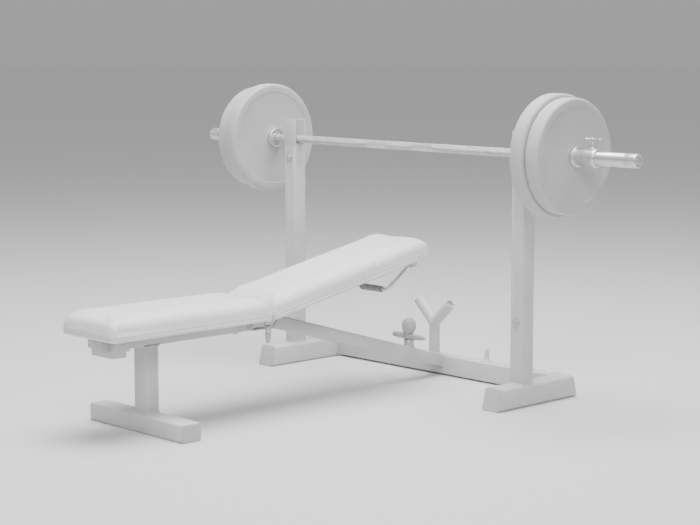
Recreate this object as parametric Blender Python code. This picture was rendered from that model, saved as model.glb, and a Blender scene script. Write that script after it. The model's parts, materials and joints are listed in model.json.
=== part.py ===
# Olympic bench press: a tilting bench, two uprights with bar cradles and a loaded barbell.
# Frame: +X along the barbell, +Y from the seat towards the uprights, +Z up.
# The origin is on the floor, in the middle of the object's box.

import math

import bmesh
import bpy
from mathutils import Matrix, Vector

X, Y, Z = Vector((1, 0, 0)), Vector((0, 1, 0)), Vector((0, 0, 1))
GAP = 0.0003  # air left between pieces that touch

# Overall
TOTAL_DEPTH = 1.703
FRONT_Y = -TOTAL_DEPTH / 2
REAR_Y = TOTAL_DEPTH / 2
UPRIGHT_Y = REAR_Y - 0.263
UPRIGHT_X = 0.598

# Tubes
TUBE = 0.060
WALL = 0.003
TUBE_ROUND = 0.006
CAP_THICK = 0.004
CAP_PLUG = 0.014

# Skids, crossbeam and front foot
SKID_WIDTH, SKID_HEIGHT = 0.078, 0.080
SKID_FRONT, SKID_REAR = UPRIGHT_Y - 0.166, REAR_Y
SKID_LEAN_FRONT, SKID_LEAN_REAR = 0.021, 0.018
SKID_ROUND = 0.012
BEAM_FRONT, BEAM_DEPTH = REAR_Y - 0.062, 0.048
BEAM_LOW, BEAM_HIGH = 0.005, 0.078
FOOT_Y, FOOT_DEPTH, FOOT_HEIGHT, FOOT_HALF = -0.623, 0.077, 0.060, 0.253
LEG_Y = -0.6115
SPIGOT_HIGH = 0.345
UPRIGHT_HIGH = 0.866

# Seat rail and spine
RAIL_HIGH, RAIL_HEIGHT = 0.3255, 0.040
RAIL_FRONT = FRONT_Y + 0.040
MITRE_HIGH_Y, MITRE_LOW_Y = -0.0475, -0.0795
SPINE_END_Z = 0.082

# Barbell
BAR_HALF = 1.100
BAR_RADIUS = 0.015
BAR_Z = 0.892
SPINDLE_RADIUS, SPINDLE_START, SPINDLE_END = 0.0125, 0.7015, 1.070
SLEEVE_RADIUS, SLEEVE_START, SLEEVE_BORE = 0.024, 0.700, 0.0135
FLANGE_RADIUS, FLANGE_FACE = 0.0375, 0.7167
BUSHING_OUTER, BUSHING_INNER, BUSHING_LENGTH = 0.0160, 0.0129, 0.040
PLATE_THICK, PLATE_BORE, PLATE_ROUND = 0.0572, 0.0252, 0.008
PLATE_RADII = {"inner": 0.2136, "outer": 0.2005}
PLATE_STARTS = {"inner": 0.7170, "outer": 0.7745}
COLLAR_START, COLLAR_BORE, COLLAR_SCREW_X = 0.8320, 0.0246, 0.9055
HANDLE_HEIGHT, HANDLE_HALF, HANDLE_RADIUS = 0.062, 0.0355, 0.0048

# Bar cradles
CRADLE_PLATE, LINER = 0.006, 0.004
CRADLE_HIGH = 0.970
CRADLE_SPIGOT_LOW = 0.770
BOLT_RADIUS = 0.006
UPRIGHT_BOLT_Z, CRADLE_BOLT_Z = 0.299, 0.820

# Bench pads
PAD_HALF = 0.145
PAD_CORNER = 0.022
PAD_EDGE = 0.034
COVER = 0.002
BOARD = 0.012
PAD_THICK = 0.0785
CROWN = 0.003

# Backrest hinge
HINGE_Y, HINGE_Z = UPRIGHT_Y - 0.755, 0.338
INCLINE = math.radians(11.5)
HINGE_CLEAR = 0.013
HINGE_ROD = 0.005
KNUCKLE = 0.009
LEAF = 0.004
LEAF_HALF = 0.120
BACK_LENGTH = 0.776
UNDERSIDE = HINGE_Z - (RAIL_HIGH + LEAF + 2 * GAP) - GAP
SECTOR_X, SECTOR_THICK, SECTOR_RADIUS = 0.103, 0.011, 0.024
BACK_RAIL_X, BACK_RAIL_START, BACK_RAIL_END = 0.055, 0.030, 0.560

# Bail under the head of the backrest
BAIL_S, BAIL_N = 0.7337, -0.022
BAIL_REACH_S, BAIL_REACH_N = 0.5932, -0.084
BAIL_HALF, BAIL_ROD, BAIL_BEND = 0.080, 0.0062, 0.024
GRIP_RADIUS, GRIP_HALF = 0.012, 0.054

# Pull pin, lock knob, fork post and pegs
PIN_KNOB_LOW, PIN_KNOB_HIGH = 0.250, 0.2860
BARREL_LOW, BARREL_HIGH, BARREL_RADIUS = 0.2870, 0.3125, 0.0112
SPRING_LOW, SPRING_HIGH, SPRING_TURNS = 0.2906, 0.3012, 4
KNOB_Y = UPRIGHT_Y + 0.040
POST_Y, POST_RADIUS = UPRIGHT_Y + 0.180, 0.0205
POST_CROTCH_Z, ARM_LENGTH = 0.205, 0.118
PEG_X, PEG_Y = 0.225, UPRIGHT_Y + 0.230

FINISHES = {  # colour, metallic, roughness
    "frame_coat": ((0.62, 0.62, 0.63), 0.0, 0.45),
    "bright_steel": ((0.60, 0.60, 0.61), 1.0, 0.30),
    "zinc": ((0.55, 0.56, 0.58), 1.0, 0.38),
    "bronze": ((0.52, 0.36, 0.18), 1.0, 0.35),
    "vinyl": ((0.78, 0.78, 0.77), 0.0, 0.50),
    "foam": ((0.80, 0.74, 0.52), 0.0, 0.90),
    "plywood": ((0.60, 0.44, 0.28), 0.0, 0.70),
    "rubber": ((0.45, 0.45, 0.46), 0.0, 0.65),
    "plastic": ((0.50, 0.50, 0.51), 0.0, 0.50),
}


def clear_scene():
    for old in list(bpy.data.objects):
        bpy.data.objects.remove(old, do_unlink=True)


def finish(name):
    """The Principled material of one finish, made once."""
    material = bpy.data.materials.get(name)
    if material:
        return material
    colour, metallic, roughness = FINISHES[name]
    material = bpy.data.materials.new(name)
    material.use_nodes = True
    shader = material.node_tree.nodes["Principled BSDF"]
    shader.inputs["Base Color"].default_value = (*colour, 1)
    shader.inputs["Metallic"].default_value = metallic
    shader.inputs["Roughness"].default_value = roughness
    return material


# Outlines: lists of (u, v) points, anticlockwise


def rounded(width, height, radius, steps=3):
    """A rectangle with round corners, centred on (0, 0)."""
    points = []
    for corner, (side, level) in enumerate(((1, 1), (-1, 1), (-1, -1), (1, -1))):
        for step in range(steps + 1):
            angle = math.radians(90 * (corner + step / steps))
            u = side * (width / 2 - radius) + radius * math.cos(angle)
            v = level * (height / 2 - radius) + radius * math.sin(angle)
            points.append((u, v))
    return points


def circle(radius, sides):
    turns = [2 * math.pi * (i + 0.5) / sides for i in range(sides)]
    return [(radius * math.cos(a), radius * math.sin(a)) for a in turns]


# Solids


def loft(name, loops, finish_name, ring=False, smooth=True):
    """A closed mesh through loops of points: capped at its ends, or a ring back to its start."""
    mesh = bmesh.new()
    rows = [[mesh.verts.new(point) for point in loop] for loop in loops]
    pairs = list(zip(rows, rows[1:]))
    if ring:
        pairs.append((rows[-1], rows[0]))
    for low, high in pairs:
        for i in range(len(low)):
            j = (i + 1) % len(low)
            mesh.faces.new((low[i], low[j], high[j], high[i]))
    if not ring:
        mesh.faces.new(rows[0])
        mesh.faces.new(rows[-1])
    bmesh.ops.recalc_face_normals(mesh, faces=mesh.faces)
    data = bpy.data.meshes.new(name)
    mesh.to_mesh(data)
    mesh.free()
    if smooth:
        data.shade_smooth()
        data.set_sharp_from_angle(angle=math.radians(35))
    data.materials.append(finish(finish_name))
    piece = bpy.data.objects.new(name, data)
    bpy.context.scene.collection.objects.link(piece)
    return piece


def section(outline, origin, across, up, plane):
    """The outline swept along across x up from the origin, until it meets a plane (point, normal)."""
    point, normal = plane
    along = across.cross(up)
    found = []
    for u, v in outline:
        start = origin + across * u + up * v
        reach = (point - start).dot(normal) / along.dot(normal)
        found.append(start + along * reach)
    return found


def prism(name, outline, origin, across, up, start, end, finish_name, bore=None):
    """A bar of one outline between two planes, with a through bore if one is given."""
    loops = [section(outline, origin, across, up, start), section(outline, origin, across, up, end)]
    if bore:
        loops.append(section(bore, origin, across, up, end))
        loops.append(section(bore, origin, across, up, start))
    return loft(name, loops, finish_name, ring=bool(bore))


def tube(name, width, height, origin, across, up, start, end, radius=TUBE_ROUND):
    """A rectangular steel tube with an open bore."""
    outer = rounded(width, height, radius)
    inner = rounded(width - 2 * WALL, height - 2 * WALL, radius - WALL)
    return prism(name, outer, origin, across, up, start, end, "frame_coat", inner)


def end_cap(name, width, height, origin, across, up, plane, radius=TUBE_ROUND):
    """A plastic cap whose outer face lies on the plane, with a plug that fills the tube's end."""
    point, normal = plane
    along = across.cross(up)
    inward = -along if along.dot(normal) > 0 else along
    edge = 0.0015
    plug = (width - 2 * WALL - 2 * GAP, height - 2 * WALL - 2 * GAP, radius - WALL)
    stages = (
        (rounded(width - 2 * edge, height - 2 * edge, radius - edge), 0),
        (rounded(width, height, radius), edge),
        (rounded(width, height, radius), CAP_THICK),
        (rounded(*plug), CAP_THICK),
        (rounded(*plug), CAP_THICK + CAP_PLUG),
    )
    loops = [section(line, origin, across, up, (point + inward * depth, normal)) for line, depth in stages]
    return loft(name, loops, "plastic")


def turned(name, profile, centre, axis, finish_name, sides=24, ring=False):
    """A lathe shape: (distance along the axis, radius) points about a line through centre."""
    first = axis.orthogonal().normalized()
    second = axis.cross(first)
    loops = []
    for along, radius in profile:
        middle = centre + axis * along
        loops.append([middle + first * u + second * v for u, v in circle(radius, sides)])
    return loft(name, loops, finish_name, ring)


def swept(name, path, radius, flat_normal, finish_name, sides=10):
    """A round rod along a path that lies in one plane."""
    loops = []
    for i, point in enumerate(path):
        before, after = path[max(i - 1, 0)], path[min(i + 1, len(path) - 1)]
        side = (after - before).normalized().cross(flat_normal)
        loops.append([point + side * u + flat_normal * v for u, v in circle(radius, sides)])
    return loft(name, loops, finish_name)


def block(name, low, high, finish_name):
    """A plain box between two corners."""
    low, high = Vector(low), Vector(high)
    middle = (low + high) / 2
    width, height = high.x - low.x, high.z - low.z
    corners = [(u * width / 2, v * height / 2) for u, v in ((1, 1), (-1, 1), (-1, -1), (1, -1))]
    start, end = (Vector((0, high.y, 0)), Y), (Vector((0, low.y, 0)), Y)
    return prism(name, corners, middle, X, Z, start, end, finish_name)


def combine(piece, tool, operation):
    """Joins the tool to the piece, or cuts it away, and keeps the tool as a hidden helper."""
    modifier = piece.modifiers.new(operation.title(), "BOOLEAN")
    modifier.operation = operation
    modifier.solver = "EXACT"
    modifier.object = tool
    tool.hide_render = True
    tool.display_type = "WIRE"
    return piece


def join(piece, *tools):
    for tool in tools:
        combine(piece, tool, "UNION")
    return piece


def cut(piece, *tools):
    for tool in tools:
        combine(piece, tool, "DIFFERENCE")
    return piece


def pivot(name, place, children, turn=0.0):
    """An empty on a joint's axis. Children made in world places keep them."""
    empty = bpy.data.objects.new(name, None)
    empty.location = place
    empty.rotation_euler.x = turn
    bpy.context.scene.collection.objects.link(empty)
    shift = Matrix.Translation(-Vector(place))
    for child in children:
        child.data.transform(shift)
        child.parent = empty
    return empty


def at(x=0.0, y=0.0, z=0.0):
    return Vector((x, y, z))


# Base frame


def make_skid(side, label):
    """A floor tube with the upright's spigot welded on, and its two caps."""
    middle = at(side * UPRIGHT_X, 0, SKID_HEIGHT / 2)
    front_normal = at(0, -SKID_HEIGHT, SKID_LEAN_FRONT).normalized()
    rear_normal = at(0, SKID_HEIGHT, SKID_LEAN_REAR).normalized()
    front, rear = at(0, SKID_FRONT, 0), at(0, SKID_REAR, 0)
    size = (SKID_WIDTH, SKID_HEIGHT, middle, X, Z)
    inset = Y * (CAP_THICK + GAP)
    start, end = (front + inset, front_normal), (rear - inset, rear_normal)
    skid = tube(f"skid_{label}", *size, start, end, SKID_ROUND)
    spigot_size = TUBE - 2 * WALL - 2 * GAP
    spigot = tube(
        f"spigot_{label}", spigot_size, spigot_size, at(side * UPRIGHT_X, UPRIGHT_Y, 0), X, Y,
        (at(0, 0, SKID_HEIGHT - WALL / 2), Z), (at(0, 0, SPIGOT_HIGH), Z), TUBE_ROUND - WALL + 0.0005,
    )
    join(skid, spigot)
    end_cap(f"skid_cap_front_{label}", *size, (front, front_normal), SKID_ROUND)
    end_cap(f"skid_cap_rear_{label}", *size, (rear, rear_normal), SKID_ROUND)
    return skid


def make_upright(side, label):
    middle = at(side * UPRIGHT_X, UPRIGHT_Y, 0)
    start, end = (at(0, 0, SKID_HEIGHT + GAP), Z), (at(0, 0, UPRIGHT_HIGH), Z)
    return tube(f"upright_{label}", TUBE, TUBE, middle, X, Y, start, end)


def make_bolt(name, x, z, depth):
    """A hexagon bolt with its washer, through a tube from the front, and the nut behind."""
    front = UPRIGHT_Y - depth / 2
    reach = depth + 2 * GAP
    place = at(x, front - GAP, z)
    shank = turned(
        name, [(0, 0.0145), (-0.0025, 0.0145), (-0.0025, 0.0105), (-0.0105, 0.0105), (-0.0115, 0.0085)],
        place, Y, "zinc", sides=18,
    )
    stem = turned(name + "_stem", [(-0.005, BOLT_RADIUS - GAP), (reach + 0.006, BOLT_RADIUS - GAP)], place, Y, "zinc", 12)
    nut = turned(name + "_nut", [(reach, 0.0105), (reach + 0.010, 0.0105)], place, Y, "zinc", 6)
    return join(shank, stem, nut)


def bolt_hole(name, x, z):
    """A cutter for a bolt's hole through the upright and what is inside it."""
    reach = TUBE
    hole = turned(name, [(-reach, BOLT_RADIUS + GAP), (reach, BOLT_RADIUS + GAP)], at(x, UPRIGHT_Y, z), Y, "zinc", 12)
    return hole


def make_cradle(side, label):
    """The U-shaped bar rest on its spigot, and the plastic liner inside the U."""
    x = side * UPRIGHT_X
    low = UPRIGHT_HIGH + GAP
    half, inner = TUBE / 2, TUBE / 2 - CRADLE_PLATE
    cradle = block(f"cradle_{label}", (x - half, UPRIGHT_Y - half, low), (x + half, UPRIGHT_Y + half, CRADLE_HIGH),
                   "frame_coat")
    slot = block(f"cradle_slot_{label}", (x - TUBE, UPRIGHT_Y - inner, low + CRADLE_PLATE),
                 (x + TUBE, UPRIGHT_Y + inner, CRADLE_HIGH + TUBE), "frame_coat")
    spigot_size = TUBE - 2 * WALL - 2 * GAP
    spigot = tube(
        f"cradle_spigot_{label}", spigot_size, spigot_size, at(x, UPRIGHT_Y, 0), X, Y,
        (at(0, 0, CRADLE_SPIGOT_LOW), Z), (at(0, 0, low + CRADLE_PLATE / 2), Z), TUBE_ROUND - WALL + 0.0005,
    )
    join(cut(cradle, slot), spigot)
    outer = inner - GAP
    liner_low = low + CRADLE_PLATE + GAP
    liner = block(f"cradle_liner_{label}", (x - half, UPRIGHT_Y - outer, liner_low),
                  (x + half, UPRIGHT_Y + outer, CRADLE_HIGH - 0.004), "plastic")
    groove = block(f"liner_slot_{label}", (x - TUBE, UPRIGHT_Y - outer + LINER, liner_low + LINER),
                   (x + TUBE, UPRIGHT_Y + outer - LINER, CRADLE_HIGH + TUBE), "plastic")
    cut(liner, groove)
    return cradle


def make_uprights():
    for side, label in ((-1, "left"), (1, "right")):
        skid = make_skid(side, label)
        upright = make_upright(side, label)
        cradle = make_cradle(side, label)
        x = side * UPRIGHT_X
        make_bolt(f"upright_bolt_{label}", x, UPRIGHT_BOLT_Z, TUBE)
        make_bolt(f"cradle_bolt_{label}", x, CRADLE_BOLT_Z, TUBE)
        low_hole = bolt_hole(f"low_hole_{label}", x, UPRIGHT_BOLT_Z)
        high_hole = bolt_hole(f"high_hole_{label}", x, CRADLE_BOLT_Z)
        cut(upright, low_hole, high_hole)
        cut(skid, low_hole)
        cut(cradle, high_hole)


def make_base():
    """Crossbeam, front foot with its caps, front leg, seat rail and the sloping spine."""
    reach = UPRIGHT_X - SKID_WIDTH / 2 - GAP
    beam_middle = at(0, BEAM_FRONT + BEAM_DEPTH / 2, (BEAM_LOW + BEAM_HIGH) / 2)
    tube("crossbeam", BEAM_DEPTH, BEAM_HIGH - BEAM_LOW, beam_middle, Y, Z, (-X * reach, X), (X * reach, X))

    foot_middle = at(0, FOOT_Y, FOOT_HEIGHT / 2)
    foot_size = (FOOT_DEPTH, FOOT_HEIGHT, foot_middle, Y, Z)
    foot_reach = X * (FOOT_HALF - CAP_THICK - GAP)
    tube("front_foot", *foot_size, (-foot_reach, X), (foot_reach, X))
    end_cap("foot_cap_left", *foot_size, (-X * FOOT_HALF, -X))
    end_cap("foot_cap_right", *foot_size, (X * FOOT_HALF, X))

    rail_low = RAIL_HIGH - RAIL_HEIGHT
    leg_ends = (at(0, 0, FOOT_HEIGHT + GAP), Z), (at(0, 0, rail_low - GAP), Z)
    tube("front_leg", TUBE, TUBE, at(0, LEG_Y, 0), X, Y, *leg_ends)

    mitre_high, mitre_low = at(0, MITRE_HIGH_Y, RAIL_HIGH), at(0, MITRE_LOW_Y, rail_low)
    mitre_normal = (mitre_high - mitre_low).normalized().cross(X)
    rail_middle = at(0, 0, RAIL_HIGH - RAIL_HEIGHT / 2)
    rail_size = (RAIL_HEIGHT, TUBE, rail_middle, Z, X)
    front = at(0, RAIL_FRONT, 0)
    rail = tube("seat_rail", *rail_size, (front, Y), (mitre_high - Y * GAP, mitre_normal))
    inside, deep = TUBE / 2 - WALL / 2, RAIL_FRONT + WALL
    low, high = (-inside, RAIL_FRONT, rail_low + WALL / 2), (inside, deep, RAIL_HIGH - WALL / 2)
    join(rail, block("rail_front_wall", low, high, "frame_coat"))

    spine_end = at(0, BEAM_FRONT - GAP, SPINE_END_Z)
    along = (spine_end - mitre_high).normalized()
    up = X.cross(along)
    height = (mitre_high - mitre_low).dot(up)
    spine_middle = mitre_high - up * height / 2
    spine = tube("spine", height, TUBE, spine_middle, up, X, (mitre_high, mitre_normal), (spine_end, Y))
    boss_place = mitre_high + along * ((KNOB_Y - mitre_high.y) / along.y)
    ring = [(0.016, 0.0185), (0.016, 0.0085), (-0.0075, 0.0085), (-0.0075, 0.0185)]
    join(spine, turned("knob_boss", ring, boss_place, Z, "frame_coat", 20, ring=True))
    return mitre_high, up, boss_place


# Fork post, band pegs and lock knob, all standing on the spine or the crossbeam


def make_fork(spine_point, spine_up):
    """A forked post: one upright tube and two arms with open ends."""
    outline = circle(POST_RADIUS, 20)
    seat = (spine_point + spine_up * GAP, spine_up)
    foot = at(0, POST_Y, 0)
    crotch = at(0, POST_Y, POST_CROTCH_Z)
    post = prism("fork_post", outline, foot, X, Y, seat, (crotch + Z * POST_RADIUS * 0.4, Z), "frame_coat")
    for side in (-1, 1):
        lean = at(side, 0, 1).normalized()
        across = Y.cross(lean)
        start, end = (crotch - lean * 0.001, lean), (crotch + lean * ARM_LENGTH, lean)
        arm = prism(f"fork_arm_{side}", outline, crotch, across, Y, start, end, "frame_coat")
        tip = crotch + lean * ARM_LENGTH
        mouth = turned(f"fork_mouth_{side}", [(-0.014, 0.0160), (0.010, 0.0160)], tip, lean, "frame_coat", 20)
        join(post, arm)
        cut(post, mouth)


def make_peg():
    """A short tapered peg on the crossbeam for an elastic band."""
    profile = [(0, 0.015), (0.003, 0.015), (0.010, 0.0105), (0.040, 0.0078), (0.046, 0.0065), (0.049, 0.0040)]
    turned("band_peg", profile, at(PEG_X, PEG_Y, BEAM_HIGH + GAP), Z, "frame_coat", 14)


def make_knob(place):
    """The lock knob on the spine: a steel screw with its flange, and a moulded bar and ball."""
    screw = [(0.004, 0.0075), (0.0163, 0.0075), (0.0163, 0.0200), (0.028, 0.0205), (0.028, 0.0070), (0.062, 0.0070)]
    stem = turned("knob_screw", screw, place, Z, "zinc", 20)
    bar_z = Z * 0.0405
    taper = [(-0.0845, 0.0060), (-0.078, 0.0100), (-0.030, 0.0118), (0.030, 0.0118), (0.060, 0.0095), (0.078, 0.0060),
             (0.0845, 0.0025)]
    bar = turned("knob_bar", taper, place + bar_z, X, "plastic", 14)
    ball = [(0.0530, 0.0100), (0.0545, 0.0190), (0.064, 0.0255), (0.078, 0.0275), (0.092, 0.0245), (0.104, 0.0170),
            (0.1115, 0.0070)]
    neck = [(0.0290, 0.0120), (0.0560, 0.0105)]
    grip = turned("knob_grip", ball, place, Z, "plastic", 20)
    tie = turned("knob_neck", neck, place, Z, "plastic", 20)
    hole = turned("knob_hole", [(0.020, 0.0073), (0.0623, 0.0073)], place, Z, "plastic", 20)
    cut(join(grip, tie, bar), hole)
    pivot("knob_axis", place, [stem, grip, tie, bar, hole])


# Bench pads: a plywood board, a foam block and a vinyl cover that opens downwards


def pad_layers(length, thick, inset, low, edge):
    """(inset from the outline, height) of a pad's layers, from its lower edge to its crown."""
    top = thick - inset
    layers = [(inset + 0.003, low), (inset, low + 0.004)]
    for step in range(5):
        angle = math.radians(90 * step / 4)
        layers.append((inset + edge * (1 - math.cos(angle)), top - edge + edge * math.sin(angle)))
    layers.append((inset + 0.062, top + CROWN))
    return layers


def pad_loops(layers, middle, length, along, up):
    loops = []
    for inset, height in layers:
        outline = rounded(2 * (PAD_HALF - inset), length - 2 * inset, PAD_CORNER + inset / 2, 4)
        loops.append([middle + X * u + along * v + up * height for u, v in outline])
    return loops


def make_pad(label, start, length):
    """Board, foam and cover of one pad. start is the middle of its front edge, at its underside."""
    middle = start + Y * length / 2
    outer = pad_layers(length, PAD_THICK, 0, 0, PAD_EDGE)
    inner = pad_layers(length, PAD_THICK, COVER, 0, PAD_EDGE - COVER)
    inner[0] = (COVER + 0.003, 0)
    loops = pad_loops(list(reversed(inner)), middle, length, Y, Z) + pad_loops(outer, middle, length, Y, Z)
    cover = loft(f"{label}_cover", loops, "vinyl")

    inset = COVER + 0.004
    board_outline = rounded(2 * (PAD_HALF - inset), length - 2 * inset, PAD_CORNER + inset, 4)
    low, high = middle, middle + Z * BOARD
    board = prism(f"{label}_board", board_outline, middle, X, Y, (low, Z), (high, Z), "plywood")

    stuffing = [(i + GAP, h - GAP) for i, h in inner[2:]]
    stuffing[0] = (stuffing[0][0], BOARD + GAP)
    stuffing.insert(1, (COVER + GAP, PAD_THICK - COVER - PAD_EDGE))
    foam = loft(f"{label}_foam", pad_loops(stuffing, middle, length, Y, Z), "foam")
    return [cover, board, foam]


def make_seat():
    """The fixed seat: pad, front bracket with its stepped lip, and the seat bolt."""
    seat_low = RAIL_HIGH + LEAF + 2 * GAP
    seat_end = HINGE_Y - HINGE_CLEAR
    make_pad("seat", at(0, FRONT_Y, seat_low), seat_end - FRONT_Y)

    half, lip, step = 0.078, 0.058, 0.0185
    rail_low = RAIL_HIGH - RAIL_HEIGHT
    front, rear = RAIL_FRONT + 0.022, RAIL_FRONT + 0.077
    bracket = block("front_bracket", (-half, front, rail_low + LEAF), (half, rear, RAIL_HIGH + GAP + LEAF),
                    "frame_coat")
    under = block("bracket_lip", (-lip, front, rail_low - GAP - step), (lip, rear, rail_low + 2 * LEAF), "frame_coat")
    side, high = TUBE / 2 + GAP, RAIL_HIGH + GAP
    channel = block("bracket_channel", (-side, front - side, rail_low - GAP), (side, rear + side, high), "frame_coat")
    cut(join(bracket, under), channel)
    bolt_place = at(0, HINGE_Y - 0.060, rail_low - GAP)
    turned("seat_bolt", [(0, 0.012), (-0.002, 0.012), (-0.002, 0.009), (-0.008, 0.009), (-0.009, 0.007)], bolt_place,
           Z, "zinc", 12)


# Backrest: made flat, in a frame whose origin is on the hinge axis


def knuckle(name, x_low, x_high, centre, leaf_low):
    """A hinge knuckle with the tab below it, still without its bore."""
    middle = centre + X * (x_low + x_high) / 2
    half = (x_high - x_low) / 2
    ring = turned(name, [(-half, KNUCKLE), (half, KNUCKLE)], middle, X, "zinc", 20)
    return ring


def make_hinge(seat_low):
    """The fixed leaf under the seat, its rod, and the barrel that guides the pull pin."""
    centre = at(0, HINGE_Y, HINGE_Z)
    leaf_low, leaf_high = RAIL_HIGH + GAP, RAIL_HIGH + GAP + LEAF
    front, rear = HINGE_Y - 0.100, HINGE_Y - HINGE_CLEAR + 0.001
    leaf = block("hinge_leaf", (-0.094, front, leaf_low), (0.094, rear, leaf_high), "zinc")
    for side, label in ((-1, "left"), (1, "right")):
        low, high = sorted((side * 0.080, side * 0.094))
        tab = block(f"fixed_tab_{label}", (low, rear - 0.002, leaf_low), (high, HINGE_Y, leaf_high), "zinc")
        join(leaf, tab, knuckle(f"fixed_knuckle_{label}", low, high, centre, leaf_low))
    cut(leaf, turned("fixed_bore", [(-0.2, HINGE_ROD + GAP), (0.2, HINGE_ROD + GAP)], centre, X, "zinc", 20))
    rod_profile = [(-0.128, 0.0075), (-0.1235, 0.0075), (-0.1235, HINGE_ROD), (0.1235, HINGE_ROD),
                   (0.1235, 0.0075), (0.128, 0.0075)]
    turned("hinge_rod", rod_profile, centre, X, "bright_steel", 20)

    pin_place = at(SECTOR_X, HINGE_Y, 0)
    barrel_profile = [(BARREL_HIGH, 0.0078), (BARREL_LOW + 0.003, 0.0078), (BARREL_LOW + 0.003, 0.0036),
                      (BARREL_LOW, 0.0036), (BARREL_LOW, BARREL_RADIUS - 0.001), (BARREL_LOW + 0.002, BARREL_RADIUS),
                      (BARREL_HIGH, BARREL_RADIUS)]
    barrel = turned("pin_barrel", barrel_profile, pin_place, Z, "zinc", 20, ring=True)
    arm_front, arm_z = HINGE_Y - 0.060, 0.2985
    arm = block("barrel_arm", (0.062, arm_front, arm_z), (SECTOR_X - 0.0085, HINGE_Y + 0.004, arm_z + LEAF), "zinc")
    riser = block("barrel_riser", (0.062, arm_front, arm_z), (0.092, arm_front + LEAF, leaf_low - GAP), "zinc")
    join(barrel, riser, arm)


def make_back_leaf():
    """The moving leaf under the backrest, with the notched sector that the pull pin locks."""
    high = -(UNDERSIDE + GAP)
    low = high - LEAF
    leaf = block("back_leaf", (-LEAF_HALF, 0.012, low), (LEAF_HALF, 0.095, high), "zinc")
    for side, label in ((-1, "left"), (1, "right")):
        near, far = sorted((side * 0.050, side * 0.0785))
        tab = block(f"back_tab_{label}", (near, 0.0, low), (far, 0.014, high), "zinc")
        join(leaf, tab, knuckle(f"back_knuckle_{label}", near, far, Vector(), low))
    rim = [math.radians(angle) for angle in range(-145, -29, 8)]
    outline = [(SECTOR_RADIUS * math.cos(a), SECTOR_RADIUS * math.sin(a)) for a in rim]
    outline += [(KNUCKLE * math.cos(a), KNUCKLE * math.sin(a)) for a in (0, math.pi / 2, math.pi)]
    start, end = (X * (SECTOR_X - SECTOR_THICK / 2), X), (X * (SECTOR_X + SECTOR_THICK / 2), X)
    sector = prism("sector_plate", outline, Vector(), Y, Z, start, end, "zinc")
    join(leaf, sector)
    bore = turned("back_bore", [(-0.2, HINGE_ROD + GAP), (0.2, HINGE_ROD + GAP)], Vector(), X, "zinc", 20)
    cut(leaf, bore)
    helpers = [bore, sector]
    for number, tilt in enumerate((0, 11.5, 22.5, 33.5)):
        angle = math.radians(-90 - tilt)
        outward = at(0, math.cos(angle), math.sin(angle))
        middle = X * SECTOR_X
        notch = turned(f"sector_notch_{number}", [(0.0185, 0.0030), (0.030, 0.0030)], middle, outward, "zinc", 10)
        cut(leaf, notch)
        helpers.append(notch)
    helpers += [bpy.data.objects[f"back_{kind}_{label}"] for kind in ("tab", "knuckle") for label in ("left", "right")]
    return [leaf], helpers


def make_back_frame():
    """Two rails under the board and the plate at the head that carries the bail's ears."""
    top = -(UNDERSIDE + LEAF + 3 * GAP)
    pieces, helpers = [], []
    for side, label in ((-1, "left"), (1, "right")):
        middle = at(side * BACK_RAIL_X, 0, top - 0.010)
        ends = (Y * BACK_RAIL_START, Y), (Y * BACK_RAIL_END, Y)
        outer, inner = rounded(0.020, 0.025, 0.003), rounded(0.016, 0.021, 0.001)
        pieces.append(prism(f"back_rail_{label}", outer, middle, Z, X, *ends, "frame_coat", inner))
    high = -(UNDERSIDE + GAP)
    low = high - LEAF
    plate = block("bail_bracket", (-LEAF_HALF, 0.520, low), (LEAF_HALF, 0.762, high), "frame_coat")
    for side, label in ((-1, "left"), (1, "right")):
        near, far = sorted((side * 0.0885, side * 0.0925))
        ear = block(f"bail_ear_{label}", (near, BAIL_S - 0.016, BAIL_N - 0.014), (far, BAIL_S + 0.016, high - 0.001),
                    "frame_coat")
        join(plate, ear)
        helpers.append(ear)
    hole = turned("bail_hole", [(-0.2, BAIL_ROD + 2 * GAP), (0.2, BAIL_ROD + 2 * GAP)], at(0, BAIL_S, BAIL_N), X,
                  "frame_coat", 16)
    cut(plate, hole)
    pieces.append(plate)
    helpers.append(hole)
    return pieces, helpers


def make_bail():
    """A U of bent rod whose ends turn outwards through the ears, and its foam grip."""
    hub, reach = at(0, BAIL_S, BAIL_N), at(0, BAIL_REACH_S, BAIL_REACH_N)
    arm = reach - hub
    length, out = arm.length, arm.normalized()
    corners = [(BAIL_HALF + 0.018, 0), (BAIL_HALF, 0), (BAIL_HALF, length), (-BAIL_HALF, length), (-BAIL_HALF, 0),
               (-BAIL_HALF - 0.018, 0)]
    bends = [0, 0.008, BAIL_BEND, BAIL_BEND, 0.008, 0]
    path = []
    for i, (corner, bend) in enumerate(zip(corners, bends)):
        here = Vector((*corner, 0))
        if not bend:
            path.append(here)
            continue
        to_last = (Vector((*corners[i - 1], 0)) - here).normalized()
        to_next = (Vector((*corners[i + 1], 0)) - here).normalized()
        for step in range(5):
            share = step / 4
            path.append(here + to_last * bend * (1 - share) ** 2 + to_next * bend * share**2)
    points = [hub + X * p.x + out * p.y for p in path]
    bail = swept("bail", points, BAIL_ROD, X.cross(out), "bright_steel", 12)
    ring = [(-GRIP_HALF, 0.0100), (-GRIP_HALF + 0.003, GRIP_RADIUS), (GRIP_HALF - 0.003, GRIP_RADIUS),
            (GRIP_HALF, 0.0100), (GRIP_HALF, BAIL_ROD + GAP), (-GRIP_HALF, BAIL_ROD + GAP)]
    grip = turned("bail_grip", ring, reach, X, "rubber", 20, ring=True)
    return [bail, grip]


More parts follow.
